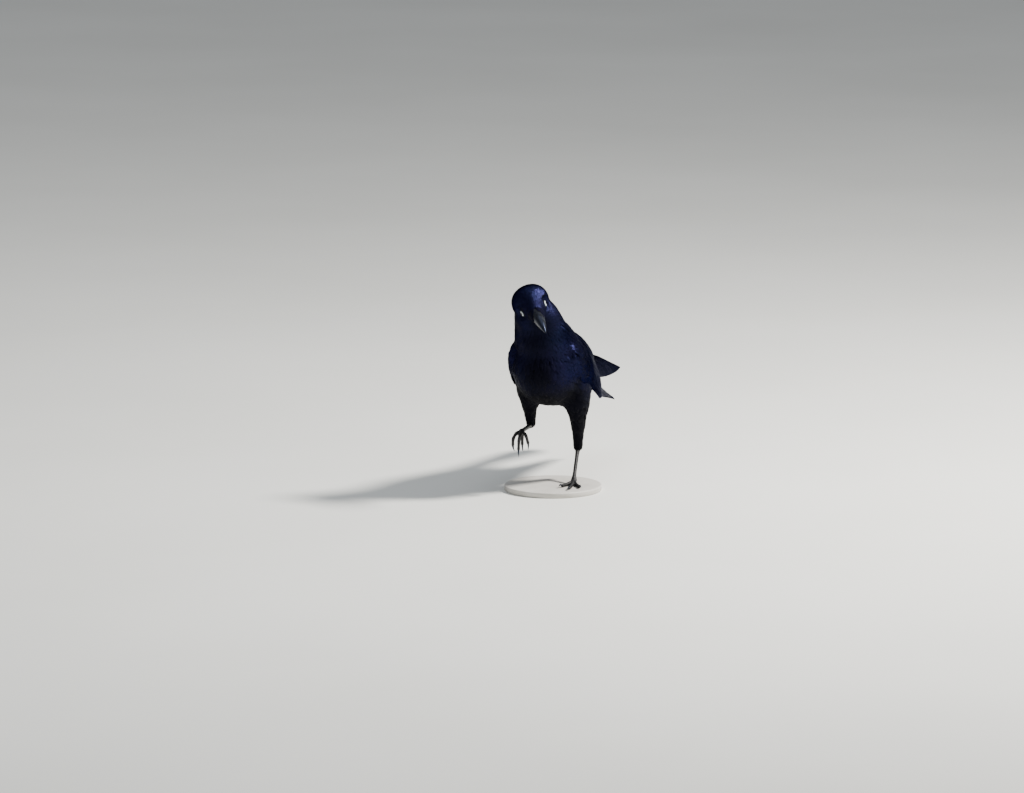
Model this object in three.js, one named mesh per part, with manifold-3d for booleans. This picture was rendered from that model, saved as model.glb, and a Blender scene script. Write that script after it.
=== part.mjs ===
// A life-size adult Torresian crow, stepping: the left foot is planted on a flat display base and the right
// foot is lifted. Millimetres, +Z up. The bird faces -Y and its left side is +X. Shapes are worked out in the
// bird's own frame, whose floor is the top of the base, and the whole group is lifted by the base's thickness,
// so the origin is the centre of the base's underside.
import * as THREE from "three";
import { mergeVertices } from "three/addons/utils/BufferGeometryUtils.js";
import Module from "manifold-3d";

const wasm = await Module();
wasm.setup();

// Driving dimensions
const gap = 0.3; // air between neighbouring pieces
const base = { radius: 68, thickness: 8, bevel: 1.5 };
const head = { eye: [-4, -92, 263.6], yaw: 28.3, pitch: 16.9, roll: 24.4 }; // eye: midpoint between the eyes
const eye = { radius: 7, out: 12.1, ahead: 1.5, up: 0.8 };
const toes = { inner: 25, middle: 36, outer: 27, hind: 20 };
const claws = { inner: 11.5, middle: 13, outer: 10.5, hind: 15 };
const toeRadius = 2.7;
const rectrices = { count: 12, middle: 176, outer: 154, rootHalf: 11, tipHalf: 15 };
const tailAngles = { slope: 19, fan: 5.5, roll: 15 }; // degrees: down to the rear, spread of the outer feathers, tilt

const colours = {
  plumage: { color: 0x0b0b10, roughness: 0.45, metalness: 0 },
  flight: { color: 0x0a0b12, roughness: 0.38, metalness: 0 },
  horn: { color: 0x0c0c0d, roughness: 0.32, metalness: 0 },
  scales: { color: 0x131313, roughness: 0.5, metalness: 0 },
  eye: { color: 0xe9ecec, roughness: 0.08, metalness: 0 },
  stand: { color: 0xcfccc4, roughness: 0.6, metalness: 0 },
};
const materials = Object.fromEntries(
  Object.entries(colours).map(([name, look]) => [name, new THREE.MeshStandardMaterial(look)]),
);

const vec = (x, y, z) => new THREE.Vector3(x, y, z);
const along = (from, ...steps) =>
  steps.reduce((point, [axis, distance]) => point.clone().addScaledVector(axis, distance), from);
const radians = (degrees) => (degrees * Math.PI) / 180;

// ---- solids ----

// The closed solid of a stack of rings: quads between rings and a fan over each end.
function skinOf(rings) {
  const n = rings[0].length;
  const points = rings.flat();
  const faces = [];
  for (let i = 0; i < rings.length - 1; i++)
    for (let j = 0; j < n; j++) {
      const a = i * n + j;
      const b = i * n + ((j + 1) % n);
      faces.push([a, b, b + n], [a, b + n, a + n]);
    }
  const ends = [rings[0], rings.at(-1)].map((ring) =>
    ring.reduce((sum, p) => sum.add(p), vec(0, 0, 0)).divideScalar(n),
  );
  points.push(...ends);
  const last = (rings.length - 1) * n;
  for (let j = 0; j < n; j++) {
    faces.push([points.length - 2, (j + 1) % n, j]);
    faces.push([points.length - 1, last + j, last + ((j + 1) % n)]);
  }
  const made = manifoldOf(points.map((p) => p.toArray()).flat(), faces.flat());
  return made.volume() < 0 ? manifoldOf(points.map((p) => p.toArray()).flat(), flipped(faces)) : made;
}

const flipped = (faces) => faces.map(([a, b, c]) => [a, c, b]).flat();

function manifoldOf(positions, indices) {
  const mesh = { numProp: 3, vertProperties: new Float32Array(positions), triVerts: new Uint32Array(indices) };
  return new wasm.Manifold(new wasm.Mesh(mesh));
}

// A manifold-3d solid from a three.js geometry.
function manifoldFrom(geometry) {
  const bare = geometry.clone();
  bare.deleteAttribute("normal");
  bare.deleteAttribute("uv");
  const merged = mergeVertices(bare, 1e-4);
  return manifoldOf(merged.attributes.position.array, merged.index.array);
}

function geometryOf(solid) {
  const { vertProperties, triVerts, numProp } = solid.getMesh();
  const positions = new Float32Array((vertProperties.length / numProp) * 3);
  for (let i = 0; i * numProp < vertProperties.length; i++)
    positions.set(vertProperties.subarray(i * numProp, i * numProp + 3), i * 3);
  const geometry = new THREE.BufferGeometry();
  geometry.setAttribute("position", new THREE.BufferAttribute(positions, 3));
  geometry.setIndex(new THREE.BufferAttribute(triVerts, 1));
  geometry.computeVertexNormals();
  return geometry;
}

// The largest body of a solid, which drops the slivers that a cut leaves.
const largest = (solid) =>
  solid.decompose().reduce((best, body) => (body.volume() > best.volume() ? body : best));

// The solid with its surface moved out by the gap, to cut neighbours with. At a sharp edge the vertices go
// further, so that the faces on both sides still move by about the gap.
function grown(solid, distance = gap) {
  const { vertProperties, triVerts, numProp } = solid.getMesh();
  const corner = (i) => new THREE.Vector3().fromArray(vertProperties, i * numProp);
  const touching = Array.from({ length: vertProperties.length / numProp }, () => []);
  for (let i = 0; i < triVerts.length; i += 3) {
    const [a, b, c] = triVerts.subarray(i, i + 3);
    const normal = corner(b).sub(corner(a)).cross(corner(c).sub(corner(a)));
    if (normal.length() > 1e-6) for (const v of [a, b, c]) touching[v].push(normal.clone().normalize());
  }
  const moved = touching.flatMap((normals, i) => {
    const mean = normals.reduce((sum, n) => sum.add(n), vec(0, 0, 0)).normalize();
    const least = Math.min(...normals.map((n) => n.dot(mean)));
    return corner(i).addScaledVector(mean, distance / Math.max(least, 0.45)).toArray();
  });
  return manifoldOf(moved, triVerts);
}

const without = (solid, ...cutters) => largest(cutters.reduce((left, cutter) => left.subtract(cutter), solid));

// Values between stations on a Catmull-Rom curve through each number: steps samples in each interval.
function smoothStations(stations, steps) {
  const at = (i) => stations[Math.min(Math.max(i, 0), stations.length - 1)];
  const out = [];
  for (let i = 0; i < stations.length - 1; i++)
    for (let k = 0; k < steps; k++) out.push(mix(at(i - 1), at(i), at(i + 1), at(i + 2), k / steps));
  out.push(stations.at(-1));
  return out;
}

function mix(p0, p1, p2, p3, t) {
  return p1.map((v, k) => {
    const [a, b, c, d] = [p0[k], v, p2[k], p3[k]];
    return b + (t * (c - a + t * (2 * a - 5 * b + 4 * c - d + t * (3 * b - a - 3 * c + d)))) / 2;
  });
}

// One rounded section; fullness 1 is an ellipse and less is squarer.
function section(centre, side, up, halfWidth, halfHeight, count, fullness) {
  return Array.from({ length: count }, (_, j) => {
    const angle = (2 * Math.PI * j) / count;
    const [c, s] = [Math.cos(angle), Math.sin(angle)];
    const across = halfWidth * Math.sign(c) * Math.abs(c) ** fullness;
    const rise = halfHeight * Math.sign(s) * Math.abs(s) ** fullness;
    return along(centre, [side, across], [up, rise]);
  });
}

// A limb: rings across a path of [x, y, z, half-width, half-depth]; side is the width's direction.
function limb(path, side, steps, count) {
  const samples = smoothStations(path, steps);
  const points = samples.map(([x, y, z]) => vec(x, y, z));
  const rings = samples.map(([, , , wide, deep], i) => {
    const ahead = points[Math.min(i + 1, points.length - 1)];
    const tangent = ahead.clone().sub(points[Math.max(i - 1, 0)]).normalize();
    const up = tangent.clone().cross(side).normalize();
    const across = up.clone().cross(tangent).normalize();
    return section(points[i], across, up, wide, deep, count, 1);
  });
  return skinOf(rings);
}

// ---- trunk, neck and head ----

// y along the body, then the top, the underside and the half-width of the feathered trunk.
const trunkStations = [
  [-86, 180, 168, 6], // front of the breast
  [-82, 194, 156, 20],
  [-72, 210, 142, 34],
  [-52, 222, 127, 45],
  [-26, 227, 116, 51],
  [4, 225, 111, 53], // deepest, over the legs
  [34, 214, 113, 51],
  [64, 199, 119, 45],
  [94, 184, 128, 36],
  [122, 171, 137, 26], // vent
  [148, 162, 141, 19],
  [168, 155, 139, 15],
  [184, 147, 137, 11], // end of the tail coverts
];

function trunkSolid() {
  const rings = smoothStations(trunkStations, 2).map(([y, top, under, wide]) =>
    section(vec(0, y, (top + under) / 2), vec(1, 0, 0), vec(0, 0, 1), wide, (top - under) / 2, 18, 0.94),
  );
  return skinOf(rings);
}

// x, y, z on the neck's middle line, then half-width and half-depth.
const neckStations = [
  [0, -16, 180, 49, 42], // inside the trunk
  [0, -34, 200, 46, 40],
  [-1, -53, 216.5, 40.5, 39],
  [-4, -63, 237, 35.5, 30.5],
  [-7, -72, 253, 31, 28.5],
  [-10, -78, 267, 24, 22], // inside the head
];
const neckSolid = () => limb(neckStations, vec(1, 0, 0), 2, 18);

// The head's own axes: forward along the bill, left through the left eye, and up through the crown.
const headTurn = new THREE.Matrix4().makeRotationZ(radians(head.yaw))
  .multiply(new THREE.Matrix4().makeRotationX(radians(head.pitch)))
  .multiply(new THREE.Matrix4().makeRotationY(radians(-head.roll)));
const headForward = vec(0, -1, 0).transformDirection(headTurn);
const headLeft = vec(1, 0, 0).transformDirection(headTurn);
const headUp = vec(0, 0, 1).transformDirection(headTurn);
const inHead = (forward, left, up) =>
  along(vec(...head.eye), [headForward, forward], [headLeft, left], [headUp, up]);

// A solid of sections across the head's forward axis: [forward, half-width, top, underside].
function headLoft(stations, steps, count, fullness) {
  const samples = smoothStations(stations, steps);
  const rings = samples.map(([ahead, wide, top, under]) =>
    section(inHead(ahead, 0, (top + under) / 2), headLeft, headUp, wide, (top - under) / 2, count, fullness),
  );
  return skinOf(rings);
}

const skullStations = [
  [-39, 5, 6, -5], // back of the head
  [-36, 14, 14, -12],
  [-28, 23, 23.7, -19],
  [-17, 26.8, 27.5, -23],
  [-7, 24, 26.2, -22.5],
  [1, 18.6, 21.8, -20.5], // eyes
  [8, 14.6, 16.6, -18],
  [14, 12, 12, -15.3],
  [20, 10.2, 9.2, -13], // bill base
];
const skullSolid = () => headLoft(skullStations, 2, 18, 0.95);

// The bill narrows to a hooked tip. It is one shape, parted along the cutting edge, which droops to the front.
const edgeHeight = (ahead) => -3 - 4.4 * (ahead / 62) ** 3;
const billStations = [
  [8, 9.7, 7.8, -12.6],
  [20, 9.4, 8.8, -12.9],
  [31, 8, 7.7, -12.5],
  [41, 6.4, 5, -11.5],
  [50, 4.5, 1.2, -10.3],
  [56.5, 2.8, -2.9, -9.3],
  [60, 1.6, -5.7, -9.2],
  [61.8, 0.7, -7.6, -9], // tip
];
const lowerBillEnd = 56;
const billSolid = () => headLoft(billStations, 2, 14, 0.9);

// Everything under the cutting edge, as far as the lower half of the bill reaches.
function underEdge() {
  const [across, deep] = [20, 30];
  const rings = [4, 20, 30, 40, 48, lowerBillEnd].map((ahead) =>
    [[across, 0], [across, -deep], [-across, -deep], [-across, 0]].map(([left, up]) =>
      inHead(ahead, left, edgeHeight(ahead) - gap + up)),
  );
  return skinOf(rings);
}

function eyeSolid(side) {
  const ball = new THREE.SphereGeometry(eye.radius, 12, 8);
  const centre = inHead(eye.ahead, side * eye.out, eye.up);
  ball.applyMatrix4(new THREE.Matrix4().makeTranslation(...centre.toArray()));
  return manifoldFrom(ball);
}

// ---- wings ----

// The folded left wing from the wrist to the tip: y, the upper edge (x, z), the lower edge (x, z), how far it
// bulges outward between them, and its thickness.
const wingStations = [
  [-60, 44, 199, 45, 187, 1, 3], // wrist
  [-54, 42, 208, 46.5, 172, 4, 7],
  [-40, 40, 212, 47.5, 157, 6, 9],
  [-15, 37, 213, 51.5, 145, 9, 9],
  [20, 33, 206, 53, 126, 10, 8],
  [55, 27, 193, 52, 115, 11, 7],
  [85, 24, 177, 47, 109, 8, 6],
  [115, 22, 159, 41.5, 106, 4, 5],
  [145, 20, 139, 38, 100, 1.5, 4],
  [180, 20, 114, 35.3, 93, 0.6, 3],
  [215, 24, 95, 32, 85.5, 0.3, 2.2],
  [237, 29, 83.5, 30, 80.8, 0.1, 1.5], // tip
];
const wingCuts = { shoulder: 22, primaries: 122 }; // y where the shoulder and the secondaries end
const wingSpan = 6; // points across the wing

function wingSolid(side) {
  const rings = smoothStations(wingStations, 1).map(([y, xu, zu, xl, zl, bulge, thick]) => {
    const [upper, lower] = [vec(side * xu, y, zu), vec(side * xl, y, zl)];
    const outward = vec(side * (zu - zl), 0, xu - xl).normalize();
    const row = (inset, from, to) =>
      Array.from({ length: wingSpan }, (_, j) => {
        const t = from + ((to - from) * j) / (wingSpan - 1);
        const round = Math.max(Math.sin(Math.PI * t), 0) ** 0.7;
        return along(upper.clone().lerp(lower, t), [outward, bulge * round + inset * (0.35 + 0.65 * round)]);
      });
    return [...row(thick / 2, 0, 1), ...row(-thick / 2, 1, 0)];
  });
  return skinOf(rings);
}

// ---- tail ----

// The fan of tail feathers as one thin solid, its outer feathers a little shorter and its end scalloped.
const tailRoot = vec(0, 128, 161);
const tailThick = { root: 7, tip: 1.4 };
const tailRows = 5;
const tailLobe = 5; // how far each feather's tip stands out of the end's outline

function tailSolid() {
  const slope = radians(tailAngles.slope);
  const back = vec(0, Math.cos(slope), -Math.sin(slope));
  const left = vec(1, 0, 0).applyAxisAngle(back, radians(-tailAngles.roll));
  const lift = left.clone().cross(back).negate();
  const across = rectrices.count * 2 + 1;
  const edge = (share, t, face) => {
    const fan = share * 2 - 1; // -1 at the right edge, 1 at the left
    const lobe = Math.abs(Math.sin(Math.PI * share * (rectrices.count - 1) * 0.5 + Math.PI / 4));
    const length = THREE.MathUtils.lerp(rectrices.middle, rectrices.outer, fan * fan) + tailLobe * (lobe - 1);
    const angle = radians(tailAngles.fan * fan);
    const half = THREE.MathUtils.lerp(rectrices.rootHalf, rectrices.tipHalf, t) * fan;
    const thick = THREE.MathUtils.lerp(tailThick.root, tailThick.tip, t ** 0.7) / 2;
    return along(tailRoot, [back, t * length * Math.cos(angle)], [left, t * length * Math.sin(angle) + half],
      [lift, face * thick * (1 - 0.6 * Math.abs(fan) ** 6)]);
  };
  const rings = Array.from({ length: tailRows }, (_, i) => {
    const t = i / (tailRows - 1);
    const row = (face) => Array.from({ length: across }, (_, j) => edge(j / (across - 1), t, face));
    return [...row(1), ...row(-1).reverse()];
  });
  return skinOf(rings);
}

// ---- legs ----

// Left leg planted under the body, right leg lifted with its foot hanging. Thigh paths hold half-width and
// half-depth after x, y, z; the shin's feathers hang a little over the ankle.
const legs = {
  left: {
    thigh: [
      [33, -8, 150, 24, 30],
      [35, -2, 122, 19.5, 24],
      [34, 8, 98, 12.5, 15],
      [30, 24.4, 70, 8.2, 9],
      [26.6, 37.2, 46.5, 6.1, 6.5],
    ],
    ankle: [26.5, 38, 48],
    knuckle: [29, 3, 5],
  },
  right: {
    thigh: [
      [-31, -14, 156, 20, 30],
      [-33, -6, 132, 16, 23],
      [-34.5, 3, 111, 11, 13],
      [-35.8, 11, 97, 8, 9],
      [-36.9, 19.6, 80, 6.2, 6.6],
    ],
    ankle: [-37, 20, 79],
    knuckle: [-35.5, -38, 80],
  },
};

const thighSolid = (leg) => limb(legs[leg].thigh, vec(1, 0, 0), 2, 14);

function shankSolid(leg) {
  const [ankle, knuckle] = [vec(...legs[leg].ankle), vec(...legs[leg].knuckle)];
  const down = knuckle.clone().sub(ankle).normalize();
  const length = ankle.distanceTo(knuckle);
  // distance from the ankle, half-width, half-depth
  const girth = [
    [-3.6, 1.8, 1.6], [-1.5, 4, 3.6], [2, 4.3, 4.4], [7, 3.3, 3.9], [16, 2.7, 3.3], [length - 16, 2.6, 3],
    [length - 7, 3.1, 3.2], [length, 4.3, 3.4], [length + 3.2, 2.4, 2],
  ];
  const path = girth.map(([d, wide, deep]) => [...along(ankle, [down, d]).toArray(), wide, deep]);
  return limb(path, vec(1, 0, 0), 1, 10);
}

// Each toe leaves the knuckle at a compass angle (0 is straight ahead, positive to the bird's left) and its
// bones follow one another at the given downward angles; the claw bends on from the last.
const feet = {
  left: {
    inner: { turn: -26, bends: [10, 0], claw: [22, 48] },
    middle: { turn: 2, bends: [10, 0, 0], claw: [20, 46] },
    outer: { turn: 27, bends: [10, 0, 0], claw: [20, 46] },
    hind: { turn: 183, bends: [12, 0], claw: [24, 52] },
  },
  right: {
    inner: { turn: 42, bends: [14, 50], claw: [80, 104] },
    middle: { turn: 8, bends: [8, 38, 72], claw: [96, 116] },
    outer: { turn: -26, bends: [10, 45, 84], claw: [104, 124] },
    hind: { turn: 188, bends: [58, 84], claw: [70, 40] },
  },
};
const footTwist = { left: 4, right: 2 }; // the whole foot's turn to the bird's left
const soleHeight = toeRadius - 0.35; // middle line of a planted toe, so that its pad is pressed flat

const heading = (turn, bend) =>
  vec(Math.sin(radians(turn)) * Math.cos(radians(bend)), -Math.cos(radians(turn)) * Math.cos(radians(bend)),
    -Math.sin(radians(bend)));

// The middle line of a toe and of its claw, as lists of points.
function toeLines(leg, toe) {
  const { turn, bends, claw } = feet[leg][toe];
  const side = leg === "left" ? 1 : -1;
  const planted = leg === "left";
  const start = vec(...legs[leg].knuckle);
  const compass = turn + footTwist[leg] * side;
  const bone = toes[toe] / bends.length;
  const line = [along(start, [heading(compass, planted ? 0 : bends[0]), 1.5])];
  for (const bend of bends) line.push(along(line.at(-1), [heading(compass, bend), bone]));
  if (planted) line.forEach((p, i) => i > 0 && (p.z = soleHeight + (i === 1 ? 0.5 : 0)));
  const hook = [line.at(-1)];
  for (const bend of claw) hook.push(along(hook.at(-1), [heading(compass, bend), claws[toe] / claw.length]));
  if (planted) hook.forEach((p, i) => (p.z = [soleHeight, soleHeight + 0.5, 1.1][i]));
  return { line, hook, compass };
}

function toeSolid(leg, toe) {
  const { line, compass } = toeLines(leg, toe);
  const side = vec(Math.cos(radians(compass)), Math.sin(radians(compass)), 0);
  const path = line.map((p, i) => {
    const girth = toeRadius * (1.08 - (0.26 * i) / (line.length - 1));
    return [...p.toArray(), girth * 0.94, girth];
  });
  const tip = line.at(-1).clone().sub(line.at(-2)).normalize();
  path.push([...along(line.at(-1), [tip, 1.6]).toArray(), toeRadius * 0.42, toeRadius * 0.42]);
  return limb(path, side, 1, 7);
}

function clawSolid(leg, toe) {
  const { hook, compass } = toeLines(leg, toe);
  const side = vec(Math.cos(radians(compass)), Math.sin(radians(compass)), 0);
  const girths = [1.75, 1.35, 0.4];
  return limb(hook.map((p, i) => [...p.toArray(), girths[i] * 0.8, girths[i]]), side, 2, 6);
}

// ---- display base ----

function standSolid() {
  const { radius, thickness, bevel } = base;
  const top = -gap / 2; // a hair below the sole
  const outline = [[0, -thickness], [radius - bevel, -thickness], [radius, bevel - thickness],
    [radius, top - bevel], [radius - bevel, top], [0, top]];
  const turned = new THREE.LatheGeometry(outline.map(([x, y]) => new THREE.Vector2(x, y)), 32);
  turned.rotateX(Math.PI / 2);
  return manifoldFrom(turned);
}

// ---- assembly ----

const bird = new THREE.Group();
bird.position.z = base.thickness;

function add(name, solid, material) {
  const mesh = new THREE.Mesh(geometryOf(solid), materials[material]);
  mesh.name = name;
  bird.add(mesh);
}

const sides = { left: 1, right: -1 };
const [skull, neck, trunk, tail] = [skullSolid(), neckSolid(), trunkSolid(), tailSolid()];
const bill = billSolid();
const eyes = Object.values(sides).map(eyeSolid);
const wings = Object.values(sides).map(wingSolid);
const aroundWings = wings.map((wing) => grown(wing));

// Head, neck and trunk are one smooth body, parted by two plane cuts: the normal points to the head.
const cuts = {
  head: { through: vec(-6, -70, 249), normal: vec(-0.12, -0.46, 0.88) },
  neck: { through: vec(0, -40, 207), normal: vec(0, -0.35, 0.94) },
};
const headSide = (solid, { through, normal }) =>
  solid.trimByPlane(normal.clone().normalize().toArray(), through.dot(normal.clone().normalize()) + gap / 2);
const trunkSide = (solid, { through, normal }) =>
  solid.trimByPlane(normal.clone().normalize().negate().toArray(),
    gap / 2 - through.dot(normal.clone().normalize()));

const around = [bill, tail, ...eyes].map((solid) => grown(solid));
const body = without(skull.add(neck).add(trunk), ...around, ...aroundWings);
add("head", largest(headSide(body, cuts.head)), "plumage");
add("neck", largest(headSide(trunkSide(body, cuts.head), cuts.neck)), "plumage");
add("trunk", largest(trunkSide(body, cuts.neck)), "plumage");
add("bill_upper", without(bill, grown(underEdge())), "horn");
add("bill_lower", largest(bill.intersect(underEdge())), "horn");
add("tail", tail, "flight");

for (const [i, side] of Object.keys(sides).entries()) {
  add(`eye_${side}`, eyes[i], "eye");
  const wing = wings[i];
  const front = (solid, y) => solid.trimByPlane([0, -1, 0], gap / 2 - y);
  const rear = (solid, y) => solid.trimByPlane([0, 1, 0], gap / 2 + y);
  add(`wing_${side}_shoulder`, largest(front(wing, wingCuts.shoulder)), "plumage");
  const middle = rear(front(wing, wingCuts.primaries), wingCuts.shoulder);
  add(`wing_${side}_secondaries`, largest(middle), "flight");
  add(`wing_${side}_primaries`, largest(rear(wing, wingCuts.primaries)), "flight");

  const shank = shankSolid(side);
  const thigh = without(thighSolid(side), grown(trunk), ...aroundWings, grown(neck), grown(shank));
  add(`thigh_${side}`, thigh, "plumage");
  add(`shank_${side}`, shank, "scales");
  const earlier = [grown(shank)];
  for (const toe of Object.keys(toes)) {
    const floored = (solid) => (side === "left" ? solid.trimByPlane([0, 0, 1], gap / 2) : solid);
    const claw = clawSolid(side, toe);
    add(`toe_${side}_${toe}`, floored(without(toeSolid(side, toe), grown(claw), ...earlier)), "scales");
    add(`claw_${side}_${toe}`, floored(claw), "horn");
    earlier.push(grown(toeSolid(side, toe)));
  }
}

add("stand_base", standSolid(), "stand");

export default bird;
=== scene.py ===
import math

import bpy
import numpy as np
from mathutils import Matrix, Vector
from mathutils.bvhtree import BVHTree
from mathutils.kdtree import KDTree


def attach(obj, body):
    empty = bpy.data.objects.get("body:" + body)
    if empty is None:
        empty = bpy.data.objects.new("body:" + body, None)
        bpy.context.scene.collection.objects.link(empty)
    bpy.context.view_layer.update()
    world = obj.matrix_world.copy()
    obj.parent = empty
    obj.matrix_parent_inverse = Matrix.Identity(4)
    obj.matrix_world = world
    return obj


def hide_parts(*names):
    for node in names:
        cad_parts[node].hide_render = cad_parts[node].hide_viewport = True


# A life-size Torresian crow in mid-step. Stations and sizes are millimetres in the bird's own frame: it faces -Y,
# its left is +X and z is 0 on top of the display base. meshOf turns them into metres in the row's frame.

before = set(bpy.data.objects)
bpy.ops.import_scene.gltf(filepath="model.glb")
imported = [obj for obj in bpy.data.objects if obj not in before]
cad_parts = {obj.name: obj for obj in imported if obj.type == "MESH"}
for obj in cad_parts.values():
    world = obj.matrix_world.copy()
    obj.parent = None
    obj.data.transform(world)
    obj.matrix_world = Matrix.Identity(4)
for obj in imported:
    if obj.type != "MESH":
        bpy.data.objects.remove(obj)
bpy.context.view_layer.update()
dice = np.random.default_rng(41)
baseThickness = 8
metre = 0.001
print("frame loaded")


# ---- surfaces ----

# Rows between stations, on a Catmull-Rom curve through every number of a row, steps rows to an interval.
def splineRows(stations, steps):
    rows = np.array(stations, float)
    padded = np.vstack([rows[:1], rows, rows[-1:]])
    place = np.arange((len(rows) - 1) * steps) / steps
    k = place.astype(int)
    t = (place - k)[:, None]
    a, b, c, d = padded[k], padded[k + 1], padded[k + 2], padded[k + 3]
    curve = b + t * (c - a + t * (2 * a - 5 * b + 4 * c - d + t * (3 * b - a - 3 * c + d))) / 2
    return np.vstack([curve, rows[-1:]])


def unit(v):
    return v / np.maximum(np.linalg.norm(v, axis=-1, keepdims=True), 1e-9)


def lerp(a, b, t):
    return a + (b - a) * t


def smoothStep(low, high, x):
    t = np.clip((x - low) / (high - low), 0, 1)
    return t * t * (3 - 2 * t)


# Rounded rings: side * width * cos^fullness + up * height * sin^fullness round each centre; fullness 1 is an ellipse.
def ringsAt(centres, side, up, wide, high, count, fullness=1.0):
    angle = np.linspace(0, 2 * np.pi, count, endpoint=False)
    c, s = np.cos(angle), np.sin(angle)
    across = (np.sign(c) * np.abs(c) ** fullness)[None, :, None] * wide[:, None, None]
    rise = (np.sign(s) * np.abs(s) ** fullness)[None, :, None] * high[:, None, None]
    return centres[:, None, :] + side[:, None, :] * across + up[:, None, :] * rise


# Rings across a path of x, y, z, half-width, half-depth: each ring is square to the path, its width along X.
def limbRings(path, steps, count):
    rows = splineRows(path, steps)
    centres = rows[:, :3]
    tangent = unit(np.gradient(centres, axis=0))
    up = unit(np.cross(tangent, np.array([1.0, 0, 0])))
    return ringsAt(centres, unit(np.cross(up, tangent)), up, rows[:, 3], rows[:, 4], count)


# Faces of a tube of rings closed by a pole at each end: quads along it and a fan round each pole.
def tubeOf(rings):
    n, m = rings.shape[:2]
    points = np.vstack([rings.reshape(-1, 3), rings[0].mean(0), rings[-1].mean(0)])
    grid = np.arange(n * m).reshape(n, m)
    turned = np.roll(grid, -1, 1)
    quads = np.stack([grid[:-1], turned[:-1], turned[1:], grid[1:]], -1).reshape(-1, 4)
    fans = np.vstack([
        np.stack([np.full(m, n * m), turned[0], grid[0]], -1),
        np.stack([np.full(m, n * m + 1), grid[-1], turned[-1]], -1),
    ])
    return points, [quads, fans]


# Six times the signed volume of closed faces: the sum over fan triangles of p0 . (p1 x p2).
def signedVolume(points, faceSets):
    total = 0.0
    for faces in faceSets:
        for k in range(1, faces.shape[1] - 1):
            a, b, c = (points[faces[:, j]] for j in (0, k, k + 1))
            total += np.einsum("ij,ij->", a - points[0], np.cross(b - points[0], c - points[0]))
    return total


# Puts points in bird millimetres and their faces into a mesh, the faces turned outward.
def meshOf(name, points, faceSets):
    if signedVolume(points, faceSets) < 0:
        faceSets = [faces[:, ::-1] for faces in faceSets]
    loops = np.concatenate([faces.ravel() for faces in faceSets]).astype(np.int32)
    sizes = np.concatenate([np.full(len(faces), faces.shape[1]) for faces in faceSets])
    mesh = bpy.data.meshes.new(name)
    mesh.vertices.add(len(points))
    mesh.vertices.foreach_set("co", ((points + [0, 0, baseThickness]) * metre).astype(np.float32).ravel())
    mesh.loops.add(len(loops))
    mesh.loops.foreach_set("vertex_index", loops)
    mesh.polygons.add(len(sizes))
    mesh.polygons.foreach_set("loop_start", np.concatenate([[0], np.cumsum(sizes)[:-1]]).astype(np.int32))
    mesh.update(calc_edges=True)
    mesh.shade_smooth()
    return mesh


# Several closed tubes as one set of points and faces.
def joined(tubes):
    points, faceSets, offset = [], [], 0
    for tubePoints, tubeFaces in tubes:
        points.append(tubePoints)
        faceSets += [faces + offset for faces in tubeFaces]
        offset += len(tubePoints)
    return np.vstack(points), faceSets


def pointsOf(mesh):
    flat = np.empty(len(mesh.vertices) * 3, np.float32)
    mesh.vertices.foreach_get("co", flat)
    return flat.reshape(-1, 3).astype(float) / metre - [0, 0, baseThickness]


def normalsOf(mesh):
    flat = np.empty(len(mesh.vertices) * 3, np.float32)
    mesh.vertex_normals.foreach_get("vector", flat)
    return flat.reshape(-1, 3).astype(float)


def movePoints(mesh, points):
    mesh.vertices.foreach_set("co", ((points + [0, 0, baseThickness]) * metre).astype(np.float32).ravel())
    mesh.update()


def remeshed(name, mesh, voxel):
    rough = bpy.data.objects.new(name + "Rough", mesh)
    bpy.context.collection.objects.link(rough)
    remesh = rough.modifiers.new("voxels", "REMESH")
    remesh.mode = "VOXEL"
    remesh.voxel_size = voxel * metre
    done = bpy.data.meshes.new_from_object(rough.evaluated_get(bpy.context.evaluated_depsgraph_get()))
    bpy.data.objects.remove(rough)
    done.name = name
    return done


# One skin over overlapping tubes: a voxel remesh, then rounds of moving each point towards the mean of its
# neighbours and a little less far back again, which smooths without shrinking. With closing the skin is made that
# much thicker and remeshed first, and made thinner again after, which fills narrow clefts. Rounds of melting
# then smooth creases where softness is high.
def skinOver(name, tubes, voxel, rounds, closing=0, melting=0, softness=None):
    points, faceSets = joined(tubes)
    skin = remeshed(name, meshOf(name + "Rough", points, faceSets), voxel)
    if closing:
        movePoints(skin, pointsOf(skin) + closing * normalsOf(skin))
        skin = remeshed(name, skin, voxel)
    edges = np.empty(len(skin.edges) * 2, np.int32)
    skin.edges.foreach_get("vertices", edges)
    ends = edges.reshape(-1, 2)
    both = np.vstack([ends, ends[:, ::-1]])
    order = np.argsort(both[:, 0], kind="stable")
    degree = np.bincount(both[:, 0], minlength=len(skin.vertices))
    starts = np.concatenate([[0], np.cumsum(degree)[:-1]])
    neighbours = both[order, 1]
    place = pointsOf(skin)
    meanOf = lambda values: np.add.reduceat(values[neighbours], starts) / degree[:, None]
    for strength in [0.6, -0.55] * rounds:
        place = place + strength * (meanOf(place) - place)
    if closing:
        movePoints(skin, place)
        place = place - closing * normalsOf(skin)
        for strength in [0.6, -0.55] * 2:
            place = place + strength * (meanOf(place) - place)
    for _ in range(melting):
        place = place + 0.5 * softness(place)[:, None] * (meanOf(place) - place)
    movePoints(skin, place)
    skin.shade_smooth()
    return skin


def addPiece(name, mesh, material, nodes=()):
    piece = bpy.data.objects.new(name, mesh)
    bpy.context.collection.objects.link(piece)
    mesh.materials.clear()
    mesh.materials.append(material)
    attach(piece, "root")
    if nodes:
        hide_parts(*nodes)
    return piece


# ---- material kit ----

def addNode(tree, kind, **settings):
    node = tree.nodes.new(kind)
    for key, value in settings.items():
        setattr(node, key, value)
    return node


def link(tree, source, target):
    tree.links.new(source, target)


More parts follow.
